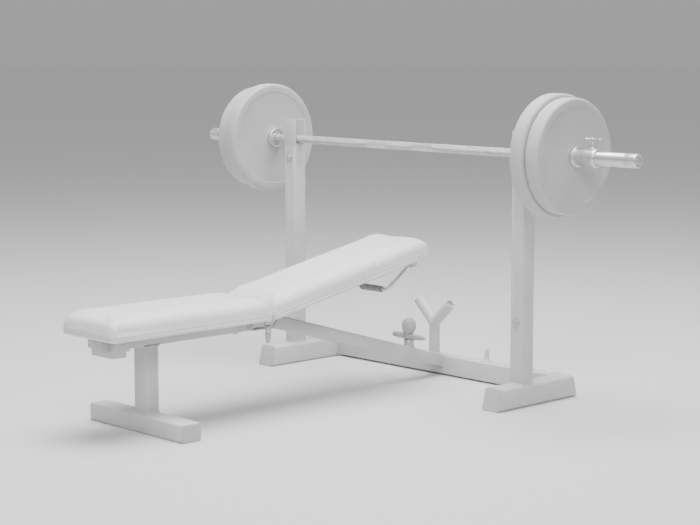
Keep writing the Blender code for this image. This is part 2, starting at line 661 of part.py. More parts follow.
def make_backrest():
    pad = make_pad("back", at(0, HINGE_CLEAR, -UNDERSIDE), BACK_LENGTH)
    leaf, leaf_helpers = make_back_leaf()
    rails, rail_helpers = make_back_frame()
    empty = pivot("back_axis", (0, 0, 0), [*pad, *leaf, *leaf_helpers, *rails, *rail_helpers], INCLINE)
    empty.location = (0, HINGE_Y, HINGE_Z)
    swing = pivot("bail_axis", (0, BAIL_S, BAIL_N), make_bail())
    swing.parent = empty


def make_pull_pin():
    """Plunger, return spring and tapered pull knob, below the sector."""
    place = at(SECTOR_X, HINGE_Y, 0)
    tip = HINGE_Z - SECTOR_RADIUS - 0.0008
    shoulder = SPRING_HIGH + GAP
    plunger = turned("lock_pin", [(tip, 0.0016), (tip - 0.002, 0.0028), (shoulder + 0.003, 0.0028),
                                  (shoulder + 0.003, 0.0072), (shoulder, 0.0072), (shoulder, 0.0030),
                                  (PIN_KNOB_HIGH - 0.014, 0.0030)], place, Z, "bright_steel", 16)
    shape = [(PIN_KNOB_HIGH, 0.0102), (PIN_KNOB_HIGH - 0.006, 0.0108), (PIN_KNOB_LOW + 0.010, 0.0080),
             (PIN_KNOB_LOW + 0.003, 0.0062), (PIN_KNOB_LOW, 0.0030)]
    knob = turned("pin_knob", shape, place, Z, "plastic", 16)
    hole = turned("pin_knob_hole", [(PIN_KNOB_HIGH - 0.0145, 0.0034), (PIN_KNOB_HIGH + 0.01, 0.0034)], place, Z,
                  "plastic", 16)
    cut(knob, hole)
    wire, steps = 0.0005, 14
    turns = [2 * math.pi * i / steps for i in range(SPRING_TURNS * steps + 1)]
    rise = (SPRING_HIGH - SPRING_LOW - 2 * wire) / turns[-1]
    loops = []
    for turn in turns:
        outward = at(math.cos(turn), math.sin(turn), 0)
        middle = place + outward * 0.0058 + Z * (SPRING_LOW + wire + rise * turn)
        loops.append([middle + outward * u + Z * v for u, v in circle(wire, 6)])
    loft("pin_spring", loops, "bright_steel")
    pivot("pin_axis", place + Z * PIN_KNOB_HIGH, [plunger, knob, hole])


# Barbell


def bar_centre():
    """The bar lies on the liner's floor, against its front wall."""
    front_wall = UPRIGHT_Y - TUBE / 2 + CRADLE_PLATE + GAP + LINER
    return at(0, front_wall + BAR_RADIUS + GAP, BAR_Z)


def make_bar(centre):
    ends = [(-SPINDLE_END, SPINDLE_RADIUS), (-SPINDLE_START, SPINDLE_RADIUS), (-SPINDLE_START, BAR_RADIUS)]
    profile = ends + [(-along, radius) for along, radius in reversed(ends)]
    return turned("bar_shaft", profile, centre, X, "bright_steel", 24)


def make_sleeve(side, label, centre):
    """The load sleeve with its flange, and the bronze bushing that it turns on."""
    outward = X * side
    bush_end = SLEEVE_START + 0.002 + BUSHING_LENGTH
    profile = [
        (SPINDLE_END + 0.010, SLEEVE_BORE), (bush_end + GAP, SLEEVE_BORE), (bush_end + GAP, BUSHING_OUTER + GAP),
        (SLEEVE_START, BUSHING_OUTER + GAP), (SLEEVE_START, FLANGE_RADIUS - 0.002),
        (SLEEVE_START + 0.002, FLANGE_RADIUS), (FLANGE_FACE - 0.002, FLANGE_RADIUS),
        (FLANGE_FACE, FLANGE_RADIUS - 0.002), (FLANGE_FACE, SLEEVE_RADIUS), (BAR_HALF - 0.004, SLEEVE_RADIUS),
        (BAR_HALF, SLEEVE_RADIUS - 0.004),
    ]
    sleeve = turned(f"sleeve_{label}", profile, centre, outward, "bright_steel", 28)
    ring = [(SLEEVE_START + 0.002, BUSHING_INNER), (SLEEVE_START + 0.002, BUSHING_OUTER),
            (bush_end, BUSHING_OUTER), (bush_end, BUSHING_INNER)]
    bushing = turned(f"bushing_{label}", ring, centre, outward, "bronze", 24, ring=True)
    return [sleeve, bushing]


def make_plate(kind, side, label, centre):
    radius, start = PLATE_RADII[kind], PLATE_STARTS[kind]
    end, edge = start + PLATE_THICK, PLATE_ROUND
    profile = [(start, PLATE_BORE), (start, radius - edge)]
    for middle, first in ((start + edge, 180), (end - edge, 90)):
        for step in range(4):
            angle = math.radians(first - 90 * step / 3)
            profile.append((middle + edge * math.cos(angle), radius - edge + edge * math.sin(angle)))
    profile += [(end, radius - edge - 0.001), (end, PLATE_BORE)]
    del profile[1]
    return turned(f"plate_{kind}_{label}", profile, centre, X * side, "rubber", 48, ring=True)


def make_collar(side, label, centre):
    """The clamp collar outside the plates, and its T-handled set screw."""
    outward = X * side
    start = COLLAR_START
    profile = [(start, COLLAR_BORE), (start, 0.0350), (start + 0.002, 0.0360), (start + 0.011, 0.0360),
               (start + 0.014, 0.0285), (start + 0.044, 0.0285), (start + 0.049, 0.0320), (start + 0.094, 0.0320),
               (start + 0.098, 0.0290), (start + 0.098, COLLAR_BORE)]
    collar = turned(f"collar_{label}", profile, centre, outward, "bright_steel", 28, ring=True)
    middle = centre + X * side * COLLAR_SCREW_X
    boss = turned(f"collar_boss_{label}", [(0.0285, 0.0120), (0.0410, 0.0110)], middle, Z, "bright_steel", 18)
    hole = turned(f"collar_hole_{label}", [(0.0150, 0.0056), (0.060, 0.0056)], middle, Z, "bright_steel", 14)
    cut(join(collar, boss), hole)

    stem = [(0.0244, 0.0035), (0.0256, 0.0050), (HANDLE_HEIGHT, 0.0050)]
    screw = turned(f"collar_screw_{label}", stem, middle, Z, "zinc", 14)
    handle = [(-HANDLE_HALF, HANDLE_RADIUS - 0.002), (-HANDLE_HALF + 0.002, HANDLE_RADIUS),
              (HANDLE_HALF - 0.002, HANDLE_RADIUS), (HANDLE_HALF, HANDLE_RADIUS - 0.002)]
    bar = turned(f"screw_bar_{label}", handle, middle + Z * HANDLE_HEIGHT, X, "zinc", 14)
    join(screw, bar)
    pivot(f"screw_axis_{label}", middle, [screw, bar])
    return [collar, boss, hole]


def make_barbell():
    centre = bar_centre()
    moving = [make_bar(centre)]
    for side, label in ((-1, "left"), (1, "right")):
        moving += make_sleeve(side, label, centre)
        moving += [make_plate(kind, side, label, centre) for kind in PLATE_RADII]
        moving += make_collar(side, label, centre)
    pivot("bar_axis", centre, moving)


def main():
    clear_scene()
    make_uprights()
    mitre_high, spine_up, knob_place = make_base()
    make_fork(mitre_high, spine_up)
    make_peg()
    make_knob(knob_place)
    make_seat()
    make_hinge(RAIL_HIGH)
    make_backrest()
    make_pull_pin()
    make_barbell()


main()
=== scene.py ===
import json
import math

import bmesh
import bpy
import numpy as np
from mathutils import Matrix, Vector
from mathutils.bvhtree import BVHTree


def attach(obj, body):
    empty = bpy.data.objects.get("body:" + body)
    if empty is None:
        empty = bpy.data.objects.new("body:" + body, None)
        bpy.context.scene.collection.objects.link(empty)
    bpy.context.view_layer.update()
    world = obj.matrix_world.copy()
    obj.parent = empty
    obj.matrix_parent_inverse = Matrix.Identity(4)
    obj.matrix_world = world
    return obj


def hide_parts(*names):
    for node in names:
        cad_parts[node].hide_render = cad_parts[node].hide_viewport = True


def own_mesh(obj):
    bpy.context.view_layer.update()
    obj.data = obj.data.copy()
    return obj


# Olympic bench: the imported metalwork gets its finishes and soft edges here, the pads are
# upholstered, and the barbell, welds and stitches are made as detailed pieces.

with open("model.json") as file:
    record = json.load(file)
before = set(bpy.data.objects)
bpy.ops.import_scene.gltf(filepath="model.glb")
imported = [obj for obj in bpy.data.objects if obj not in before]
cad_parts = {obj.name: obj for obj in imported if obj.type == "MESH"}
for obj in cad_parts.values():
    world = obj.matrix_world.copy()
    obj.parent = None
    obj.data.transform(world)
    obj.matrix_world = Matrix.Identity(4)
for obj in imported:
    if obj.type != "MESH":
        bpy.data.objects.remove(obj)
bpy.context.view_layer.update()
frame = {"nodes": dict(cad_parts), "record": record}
nodes = frame["nodes"]
scene = bpy.context.scene
alongX, alongY, alongZ = Vector((1, 0, 0)), Vector((0, 1, 0)), Vector((0, 0, 1))
print("frame loaded:", len(nodes), "nodes")


# camera, light and floor

shot = {"place": (4.722, -4.1685, 1.319), "turn": 46.45, "tilt": 7.36, "lens": 92.55}
studio = {"keyPower": 250, "fillPower": 25, "topPower": 620, "skyLow": 0.40, "skyHigh": 0.66,
          "floorGrey": 0.60}


def addCamera():
    camera = bpy.data.objects.new("camera", bpy.data.cameras.new("camera"))
    camera.data.lens = shot["lens"]
    camera.data.clip_end = 200
    turn, tilt = math.radians(shot["turn"]), math.radians(shot["tilt"])
    back = Vector((math.sin(turn) * math.cos(tilt), -math.cos(turn) * math.cos(tilt), math.sin(tilt)))
    camera.location = shot["place"]
    camera.rotation_mode = "QUATERNION"
    camera.rotation_quaternion = (-back).to_track_quat("-Z", "Y")
    scene.collection.objects.link(camera)
    scene.camera = camera


def addSoftbox(name, place, aim, size, power):
    lamp = bpy.data.lights.new(name, "AREA")
    lamp.shape = "DISK"
    lamp.size = size
    lamp.energy = power
    box = bpy.data.objects.new(name, lamp)
    box.location = place
    box.rotation_mode = "QUATERNION"
    box.rotation_quaternion = (Vector(aim) - Vector(place)).to_track_quat("-Z", "Y")
    scene.collection.objects.link(box)


def addStudio():
    addSoftbox("key", (4.2, -3.6, 4.9), (0, 0, 0.5), 2.6, studio["keyPower"])
    addSoftbox("fill", (-5.0, -2.6, 2.6), (0, 0, 0.5), 3.2, studio["fillPower"])
    addSoftbox("top", (0.2, 0.4, 5.2), (0, 0, 0.4), 4.2, studio["topPower"])
    sky = bpy.data.worlds.new("studio sky")
    sky.use_nodes = True
    tree = sky.node_tree
    direction = tree.nodes.new("ShaderNodeTexCoord")
    direction.label = "direction in the sky"
    heights = tree.nodes.new("ShaderNodeSeparateXYZ")
    heights.label = "height above the horizon"
    rise = tree.nodes.new("ShaderNodeValToRGB")
    rise.label = "floor grey at the horizon, pale above"
    rise.color_ramp.elements[0].position = 0.0
    rise.color_ramp.elements[0].color = (*[studio["skyLow"]] * 3, 1)
    rise.color_ramp.elements[1].position = 0.75
    rise.color_ramp.elements[1].color = (*[studio["skyHigh"]] * 3, 1)
    background = tree.nodes["Background"]
    background.label = "studio light"
    tree.links.new(direction.outputs["Generated"], heights.inputs["Vector"])
    tree.links.new(heights.outputs["Z"], rise.inputs["Fac"])
    tree.links.new(rise.outputs["Color"], background.inputs["Color"])
    for column, node in enumerate((direction, heights, rise)):
        node.location = (column * 220 - 700, 0)
    scene.world = sky

    ground = bmesh.new()
    bmesh.ops.create_circle(ground, cap_ends=True, segments=96, radius=60)
    mesh = bpy.data.meshes.new("floor")
    ground.to_mesh(mesh)
    ground.free()
    paint = bpy.data.materials.new("floor paint")
    paint.use_nodes = True
    shader = paint.node_tree.nodes["Principled BSDF"]
    grey = studio["floorGrey"]
    shader.inputs["Base Color"].default_value = (grey, grey, grey, 1)
    shader.inputs["Roughness"].default_value = 0.75
    mesh.materials.append(paint)
    floor = bpy.data.objects.new("floor", mesh)
    scene.collection.objects.link(floor)


addCamera()
addStudio()
print("camera and studio set")


# finishes

def layOut(material, groups):
    # one labelled frame for each effect, its nodes in a row, the shader and output on the right
    tree = material.node_tree
    for row, (label, members) in enumerate(groups.items()):
        box = tree.nodes.new("NodeFrame")
        box.label = label
        for column, node in enumerate(members):
            node.parent = box
            node.location = (column * 190 - 1400, -row * 320)


def startMaterial(name):
    material = bpy.data.materials.new(name)
    material.use_nodes = True
    tree = material.node_tree
    tree.nodes.clear()
    output = tree.nodes.new("ShaderNodeOutputMaterial")
    output.label = "surface"
    output.location = (700, 0)
    shader = tree.nodes.new("ShaderNodeBsdfPrincipled")
    shader.label = name
    shader.location = (380, 0)
    tree.links.new(shader.outputs["BSDF"], output.inputs["Surface"])
    return material, tree, shader


def powderCoat(name, look):
    # sprayed and baked coat: orange peel, faint mottling and handled, slightly shinier patches
    material, tree, shader = startMaterial(name)
    shader.inputs["Specular IOR Level"].default_value = 0.45
    shader.inputs["Coat Weight"].default_value = 0.06
    shader.inputs["Coat Roughness"].default_value = 0.3

    place = tree.nodes.new("ShaderNodeTexCoord")
    place.label = "position on the metal"
    peel = tree.nodes.new("ShaderNodeTexNoise")
    peel.label = "orange peel"
    peel.inputs["Scale"].default_value = look["peelScale"]
    peel.inputs["Detail"].default_value = 3
    speck = tree.nodes.new("ShaderNodeTexNoise")
    speck.label = "fine powder grain"
    speck.inputs["Scale"].default_value = look["peelScale"] * 5
    speck.inputs["Detail"].default_value = 2
    peelBump = tree.nodes.new("ShaderNodeBump")
    peelBump.label = "peel height"
    peelBump.inputs["Strength"].default_value = look["peelDepth"]
    peelBump.inputs["Distance"].default_value = 0.0008
    speckBump = tree.nodes.new("ShaderNodeBump")
    speckBump.label = "grain height"
    speckBump.inputs["Strength"].default_value = look["peelDepth"] * 0.6
    speckBump.inputs["Distance"].default_value = 0.0001
    tree.links.new(place.outputs["Object"], peel.inputs["Vector"])
    tree.links.new(place.outputs["Object"], speck.inputs["Vector"])
    tree.links.new(peel.outputs["Fac"], peelBump.inputs["Height"])
    tree.links.new(speck.outputs["Fac"], speckBump.inputs["Height"])
    tree.links.new(peelBump.outputs["Normal"], speckBump.inputs["Normal"])
    tree.links.new(speckBump.outputs["Normal"], shader.inputs["Normal"])

    mottle = tree.nodes.new("ShaderNodeTexNoise")
    mottle.label = "uneven coat"
    mottle.inputs["Scale"].default_value = 9
    mottle.inputs["Detail"].default_value = 5
    mottle.inputs["Roughness"].default_value = 0.6
    shades = tree.nodes.new("ShaderNodeValToRGB")
    shades.label = "coat shades"
    shades.color_ramp.elements[0].position = 0.3
    shades.color_ramp.elements[0].color = (*[c * (1 - look["mottle"]) for c in look["colour"]], 1)
    shades.color_ramp.elements[1].position = 0.7
    shades.color_ramp.elements[1].color = (*[min(c * (1 + look["mottle"]), 1) for c in look["colour"]], 1)
    dust = tree.nodes.new("ShaderNodeTexNoise")
    dust.label = "specks of dust and chalk"
    dust.inputs["Scale"].default_value = 260
    dust.inputs["Detail"].default_value = 1
    dustMask = tree.nodes.new("ShaderNodeMapRange")
    dustMask.label = "only the strongest specks"
    dustMask.inputs["From Min"].default_value = 0.70
    dustMask.inputs["From Max"].default_value = 0.78
    dustMask.inputs["To Max"].default_value = 0.35
    dustMix = tree.nodes.new("ShaderNodeMix")
    dustMix.label = "specks over the coat"
    dustMix.data_type = "RGBA"
    dustMix.inputs["B"].default_value = (*[c * 0.72 for c in look["colour"]], 1)
    tree.links.new(place.outputs["Object"], mottle.inputs["Vector"])
    tree.links.new(place.outputs["Object"], dust.inputs["Vector"])
    tree.links.new(mottle.outputs["Fac"], shades.inputs["Fac"])
    tree.links.new(dust.outputs["Fac"], dustMask.inputs["Value"])
    tree.links.new(dustMask.outputs["Result"], dustMix.inputs["Factor"])
    tree.links.new(shades.outputs["Color"], dustMix.inputs["A"])
    tree.links.new(dustMix.outputs["Result"], shader.inputs["Base Color"])

    rub = tree.nodes.new("ShaderNodeTexNoise")
    rub.label = "hand-worn patches"
    rub.inputs["Scale"].default_value = 5
    rub.inputs["Detail"].default_value = 6
    rubRange = tree.nodes.new("ShaderNodeMapRange")
    rubRange.label = "roughness from worn to fresh"
    rubRange.inputs["To Min"].default_value = look["roughness"] - 0.08
    rubRange.inputs["To Max"].default_value = look["roughness"] + 0.08
    tree.links.new(place.outputs["Object"], rub.inputs["Vector"])
    tree.links.new(rub.outputs["Fac"], rubRange.inputs["Value"])
    tree.links.new(rubRange.outputs["Result"], shader.inputs["Roughness"])

    layOut(material, {
        "Orange peel": [place, peel, peelBump, speck, speckBump],
        "Colour of the coat": [mottle, shades, dust, dustMask, dustMix],
        "Shine": [rub, rubRange],
    })
    return material


def workedSteel(name, look):
    # steel turned or drawn along one axis: fine parallel marks and cloudy handling stains
    material, tree, shader = startMaterial(name)
    shader.inputs["Metallic"].default_value = look["metallic"]
    shader.inputs["Anisotropic"].default_value = 0.3

    place = tree.nodes.new("ShaderNodeTexCoord")
    place.label = "position on the steel"
    stretch = tree.nodes.new("ShaderNodeMapping")
    stretch.label = "marks run round or along"
    stretch.inputs["Scale"].default_value = look["grain"]
    marks = tree.nodes.new("ShaderNodeTexNoise")
    marks.label = "tool marks"
    marks.inputs["Scale"].default_value = 1
    marks.inputs["Detail"].default_value = 4
    marks.inputs["Roughness"].default_value = 0.7
    markBump = tree.nodes.new("ShaderNodeBump")
    markBump.label = "depth of the marks"
    markBump.inputs["Strength"].default_value = look["markDepth"]
    markBump.inputs["Distance"].default_value = 0.0002
    tree.links.new(place.outputs["Object"], stretch.inputs["Vector"])
    tree.links.new(stretch.outputs["Vector"], marks.inputs["Vector"])
    tree.links.new(marks.outputs["Fac"], markBump.inputs["Height"])
    tree.links.new(markBump.outputs["Normal"], shader.inputs["Normal"])

    cloud = tree.nodes.new("ShaderNodeTexNoise")
    cloud.label = "handling stains"
    cloud.inputs["Scale"].default_value = 28
    cloud.inputs["Detail"].default_value = 6
    tones = tree.nodes.new("ShaderNodeValToRGB")
    tones.label = "steel tones"
    tones.color_ramp.elements[0].position = 0.35
    tones.color_ramp.elements[0].color = (*[c * 0.86 for c in look["colour"]], 1)
    tones.color_ramp.elements[1].position = 0.65
    tones.color_ramp.elements[1].color = (*look["colour"], 1)
    tree.links.new(place.outputs["Object"], cloud.inputs["Vector"])
    tree.links.new(cloud.outputs["Fac"], tones.inputs["Fac"])
    tree.links.new(tones.outputs["Color"], shader.inputs["Base Color"])

    polish = tree.nodes.new("ShaderNodeMapRange")
    polish.label = "roughness between the marks"
    polish.inputs["To Min"].default_value = look["roughness"] - 0.06
    polish.inputs["To Max"].default_value = look["roughness"] + 0.12
    tree.links.new(marks.outputs["Fac"], polish.inputs["Value"])
    tree.links.new(polish.outputs["Result"], shader.inputs["Roughness"])

    layOut(material, {
        "Tool marks": [place, stretch, marks, markBump],
        "Colour": [cloud, tones],
        "Shine": [polish],
    })
    return material


def knurledSteel(name, look):
    # the bar between the uprights: crossed spiral cuts in bands, with painted shade darkening the bands, smooth
    # steel between them
    material, tree, shader = startMaterial(name)
    shader.inputs["Metallic"].default_value = look["metallic"]
    shader.inputs["Roughness"].default_value = look["roughness"]

    place = tree.nodes.new("ShaderNodeTexCoord")
    place.label = "position on the bar"
    centre = tree.nodes.new("ShaderNodeMapping")
    centre.label = "bar's axis at zero"
    centre.inputs["Location"].default_value = (0, -look["axis"][0], -look["axis"][1])
    split = tree.nodes.new("ShaderNodeSeparateXYZ")
    split.label = "along, and across"
    turn = tree.nodes.new("ShaderNodeMath")
    turn.label = "angle round the bar"
    turn.operation = "ARCTAN2"
    wrap = tree.nodes.new("ShaderNodeMath")
    wrap.label = "cuts round the bar"
    wrap.operation = "MULTIPLY"
    wrap.inputs[1].default_value = look["cuts"]
    pitch = tree.nodes.new("ShaderNodeMath")
    pitch.label = "cuts along the bar"
    pitch.operation = "MULTIPLY"
    pitch.inputs[1].default_value = look["cuts"] / look["radius"]
    rightHand = tree.nodes.new("ShaderNodeMath")
    rightHand.label = "right-hand spiral"
    rightHand.operation = "ADD"
    leftHand = tree.nodes.new("ShaderNodeMath")
    leftHand.label = "left-hand spiral"
    leftHand.operation = "SUBTRACT"
    rightWave = tree.nodes.new("ShaderNodeMath")
    rightWave.label = "right-hand groove"
    rightWave.operation = "SINE"
    leftWave = tree.nodes.new("ShaderNodeMath")
    leftWave.label = "left-hand groove"
    leftWave.operation = "SINE"
    diamonds = tree.nodes.new("ShaderNodeMath")
    diamonds.label = "diamond points"
    diamonds.operation = "MAXIMUM"
    tree.links.new(place.outputs["Object"], centre.inputs["Vector"])
    tree.links.new(centre.outputs["Vector"], split.inputs["Vector"])
    tree.links.new(split.outputs["Z"], turn.inputs[0])
    tree.links.new(split.outputs["Y"], turn.inputs[1])
    tree.links.new(turn.outputs["Value"], wrap.inputs[0])
    tree.links.new(split.outputs["X"], pitch.inputs[0])
    tree.links.new(pitch.outputs["Value"], rightHand.inputs[0])
    tree.links.new(wrap.outputs["Value"], rightHand.inputs[1])
    tree.links.new(pitch.outputs["Value"], leftHand.inputs[0])
    tree.links.new(wrap.outputs["Value"], leftHand.inputs[1])
    tree.links.new(rightHand.outputs["Value"], rightWave.inputs[0])
    tree.links.new(leftHand.outputs["Value"], leftWave.inputs[0])
    tree.links.new(rightWave.outputs["Value"], diamonds.inputs[0])
    tree.links.new(leftWave.outputs["Value"], diamonds.inputs[1])

    reach = tree.nodes.new("ShaderNodeMath")
    reach.label = "distance from the middle"
    reach.operation = "ABSOLUTE"
    bands = tree.nodes.new("ShaderNodeValToRGB")
    bands.label = "where the bar is knurled"
    bands.color_ramp.interpolation = "CONSTANT"
    stops = [(0.0, 1), (look["middleBand"], 0), (look["gripStart"], 1), (look["ring"], 0),
             (look["ring"] + 0.006, 1), (look["gripEnd"], 0)]
    for _ in range(len(stops) - 2):
        bands.color_ramp.elements.new(0.5)
    for element, (position, value) in zip(bands.color_ramp.elements, stops):
        element.position = position
        element.color = (value, value, value, 1)
    banded = tree.nodes.new("ShaderNodeMath")
    banded.label = "cuts inside the bands"
    banded.operation = "MULTIPLY"
    cutBump = tree.nodes.new("ShaderNodeBump")
    cutBump.label = "depth of the knurl"
    cutBump.inputs["Strength"].default_value = 0.8
    cutBump.inputs["Distance"].default_value = 0.0004
    tree.links.new(split.outputs["X"], reach.inputs[0])
    tree.links.new(reach.outputs["Value"], bands.inputs["Fac"])
    tree.links.new(bands.outputs["Color"], banded.inputs[0])
    tree.links.new(diamonds.outputs["Value"], banded.inputs[1])
    tree.links.new(banded.outputs["Value"], cutBump.inputs["Height"])
    tree.links.new(cutBump.outputs["Normal"], shader.inputs["Normal"])

    cloud = tree.nodes.new("ShaderNodeTexNoise")
    cloud.label = "chalk and sweat stains"
    cloud.inputs["Scale"].default_value = 30
    cloud.inputs["Detail"].default_value = 6
    tones = tree.nodes.new("ShaderNodeValToRGB")
    tones.label = "steel tones"
    tones.color_ramp.elements[0].position = 0.3
    tones.color_ramp.elements[0].color = (*[c * 0.84 for c in look["colour"]], 1)
    tones.color_ramp.elements[1].position = 0.7
    tones.color_ramp.elements[1].color = (*look["colour"], 1)
    # painted shade: the colour of the knurled bands is multiplied darker to stand for shadow inside the crossed
    # cuts
    shaded = tree.nodes.new("ShaderNodeMix")
    shaded.label = "knurled bands darkened as painted shade"
    shaded.data_type = "RGBA"
    shaded.blend_type = "MULTIPLY"
    shaded.inputs["B"].default_value = (0.9, 0.9, 0.9, 1)
    tree.links.new(place.outputs["Object"], cloud.inputs["Vector"])
    tree.links.new(cloud.outputs["Fac"], tones.inputs["Fac"])
    tree.links.new(bands.outputs["Color"], shaded.inputs["Factor"])
    tree.links.new(tones.outputs["Color"], shaded.inputs["A"])
    tree.links.new(shaded.outputs["Result"], shader.inputs["Base Color"])

    layOut(material, {
        "Round the bar": [place, centre, split, turn, wrap, pitch],
        "Crossed cuts": [rightHand, leftHand, rightWave, leftWave, diamonds],
        "Bands": [reach, bands, banded, cutBump],
        "Colour": [cloud, tones, shaded],
    })
    return material


def grainedVinyl(name, look):
    # upholstery vinyl: pebbled grain, fine wrinkles, soft colour change, painted shade between the pebbles and
    # a dull sheen
    material, tree, shader = startMaterial(name)
    shader.inputs["Specular IOR Level"].default_value = 0.4
    shader.inputs["Sheen Weight"].default_value = 0.06
    shader.inputs["Sheen Roughness"].default_value = 0.5

    place = tree.nodes.new("ShaderNodeTexCoord")
    place.label = "position on the pad"
    warp = tree.nodes.new("ShaderNodeTexNoise")
    warp.label = "uneven pebbles"
    warp.inputs["Scale"].default_value = 160
    shift = tree.nodes.new("ShaderNodeMix")
    shift.label = "pebbles pushed about"
    shift.data_type = "RGBA"
    shift.blend_type = "LINEAR_LIGHT"
    shift.inputs["Factor"].default_value = 0.004
    pebbles = tree.nodes.new("ShaderNodeTexVoronoi")
    pebbles.label = "leather grain"
    pebbles.feature = "SMOOTH_F1"
    pebbles.inputs["Scale"].default_value = look["grainScale"]
    pebbles.inputs["Smoothness"].default_value = 0.35
    grainBump = tree.nodes.new("ShaderNodeBump")
    grainBump.label = "height of the grain"
    grainBump.invert = True
    grainBump.inputs["Strength"].default_value = look["grainDepth"]
    grainBump.inputs["Distance"].default_value = 0.0008
    wrinkles = tree.nodes.new("ShaderNodeTexNoise")
    wrinkles.label = "stretch wrinkles"
    wrinkles.inputs["Scale"].default_value = 34
    wrinkles.inputs["Detail"].default_value = 6
    wrinkles.inputs["Distortion"].default_value = 0.6
    wrinkleBump = tree.nodes.new("ShaderNodeBump")
    wrinkleBump.label = "height of the wrinkles"
    wrinkleBump.inputs["Strength"].default_value = look["wrinkleDepth"]
    wrinkleBump.inputs["Distance"].default_value = 0.0015
    tree.links.new(place.outputs["Object"], warp.inputs["Vector"])
    tree.links.new(place.outputs["Object"], shift.inputs["A"])
    tree.links.new(warp.outputs["Color"], shift.inputs["B"])
    tree.links.new(shift.outputs["Result"], pebbles.inputs["Vector"])
    tree.links.new(pebbles.outputs["Distance"], grainBump.inputs["Height"])
    tree.links.new(place.outputs["Object"], wrinkles.inputs["Vector"])
    tree.links.new(wrinkles.outputs["Fac"], wrinkleBump.inputs["Height"])
    tree.links.new(wrinkleBump.outputs["Normal"], grainBump.inputs["Normal"])
    tree.links.new(grainBump.outputs["Normal"], shader.inputs["Normal"])

    tone = tree.nodes.new("ShaderNodeTexNoise")
    tone.label = "colour drift"
    tone.inputs["Scale"].default_value = 7
    tone.inputs["Detail"].default_value = 4
    tones = tree.nodes.new("ShaderNodeValToRGB")
    tones.label = "vinyl shades"
    tones.color_ramp.elements[0].position = 0.3
    tones.color_ramp.elements[0].color = (*[c * 0.93 for c in look["colour"]], 1)
    tones.color_ramp.elements[1].position = 0.7
    tones.color_ramp.elements[1].color = (*look["colour"], 1)
    # painted shade: the colour is darkened in the valleys between the pebbles, where shade falls
    pebbleShadeMask = tree.nodes.new("ShaderNodeMapRange")
    pebbleShadeMask.label = "painted shade between pebbles"
    pebbleShadeMask.inputs["From Min"].default_value = 0.35
    pebbleShadeMask.inputs["From Max"].default_value = 0.85
    pebbleShadeMask.inputs["To Max"].default_value = 0.22
    pebbleShadeMix = tree.nodes.new("ShaderNodeMix")
    pebbleShadeMix.label = "darker valleys"
    pebbleShadeMix.data_type = "RGBA"
    pebbleShadeMix.inputs["B"].default_value = (*[c * 0.7 for c in look["colour"]], 1)
    tree.links.new(place.outputs["Object"], tone.inputs["Vector"])
    tree.links.new(tone.outputs["Fac"], tones.inputs["Fac"])
    tree.links.new(pebbles.outputs["Distance"], pebbleShadeMask.inputs["Value"])
    tree.links.new(pebbleShadeMask.outputs["Result"], pebbleShadeMix.inputs["Factor"])
    tree.links.new(tones.outputs["Color"], pebbleShadeMix.inputs["A"])
    tree.links.new(pebbleShadeMix.outputs["Result"], shader.inputs["Base Color"])

    shine = tree.nodes.new("ShaderNodeMapRange")
    shine.label = "polished where it is sat on"
    shine.inputs["To Min"].default_value = look["roughness"] - 0.07
    shine.inputs["To Max"].default_value = look["roughness"] + 0.09
    tree.links.new(tone.outputs["Fac"], shine.inputs["Value"])
    tree.links.new(shine.outputs["Result"], shader.inputs["Roughness"])

    layOut(material, {
        "Grain": [place, warp, shift, pebbles, grainBump],
        "Wrinkles": [wrinkles, wrinkleBump],
        "Colour": [tone, tones, pebbleShadeMask, pebbleShadeMix],
        "Shine": [shine],
    })
    return material


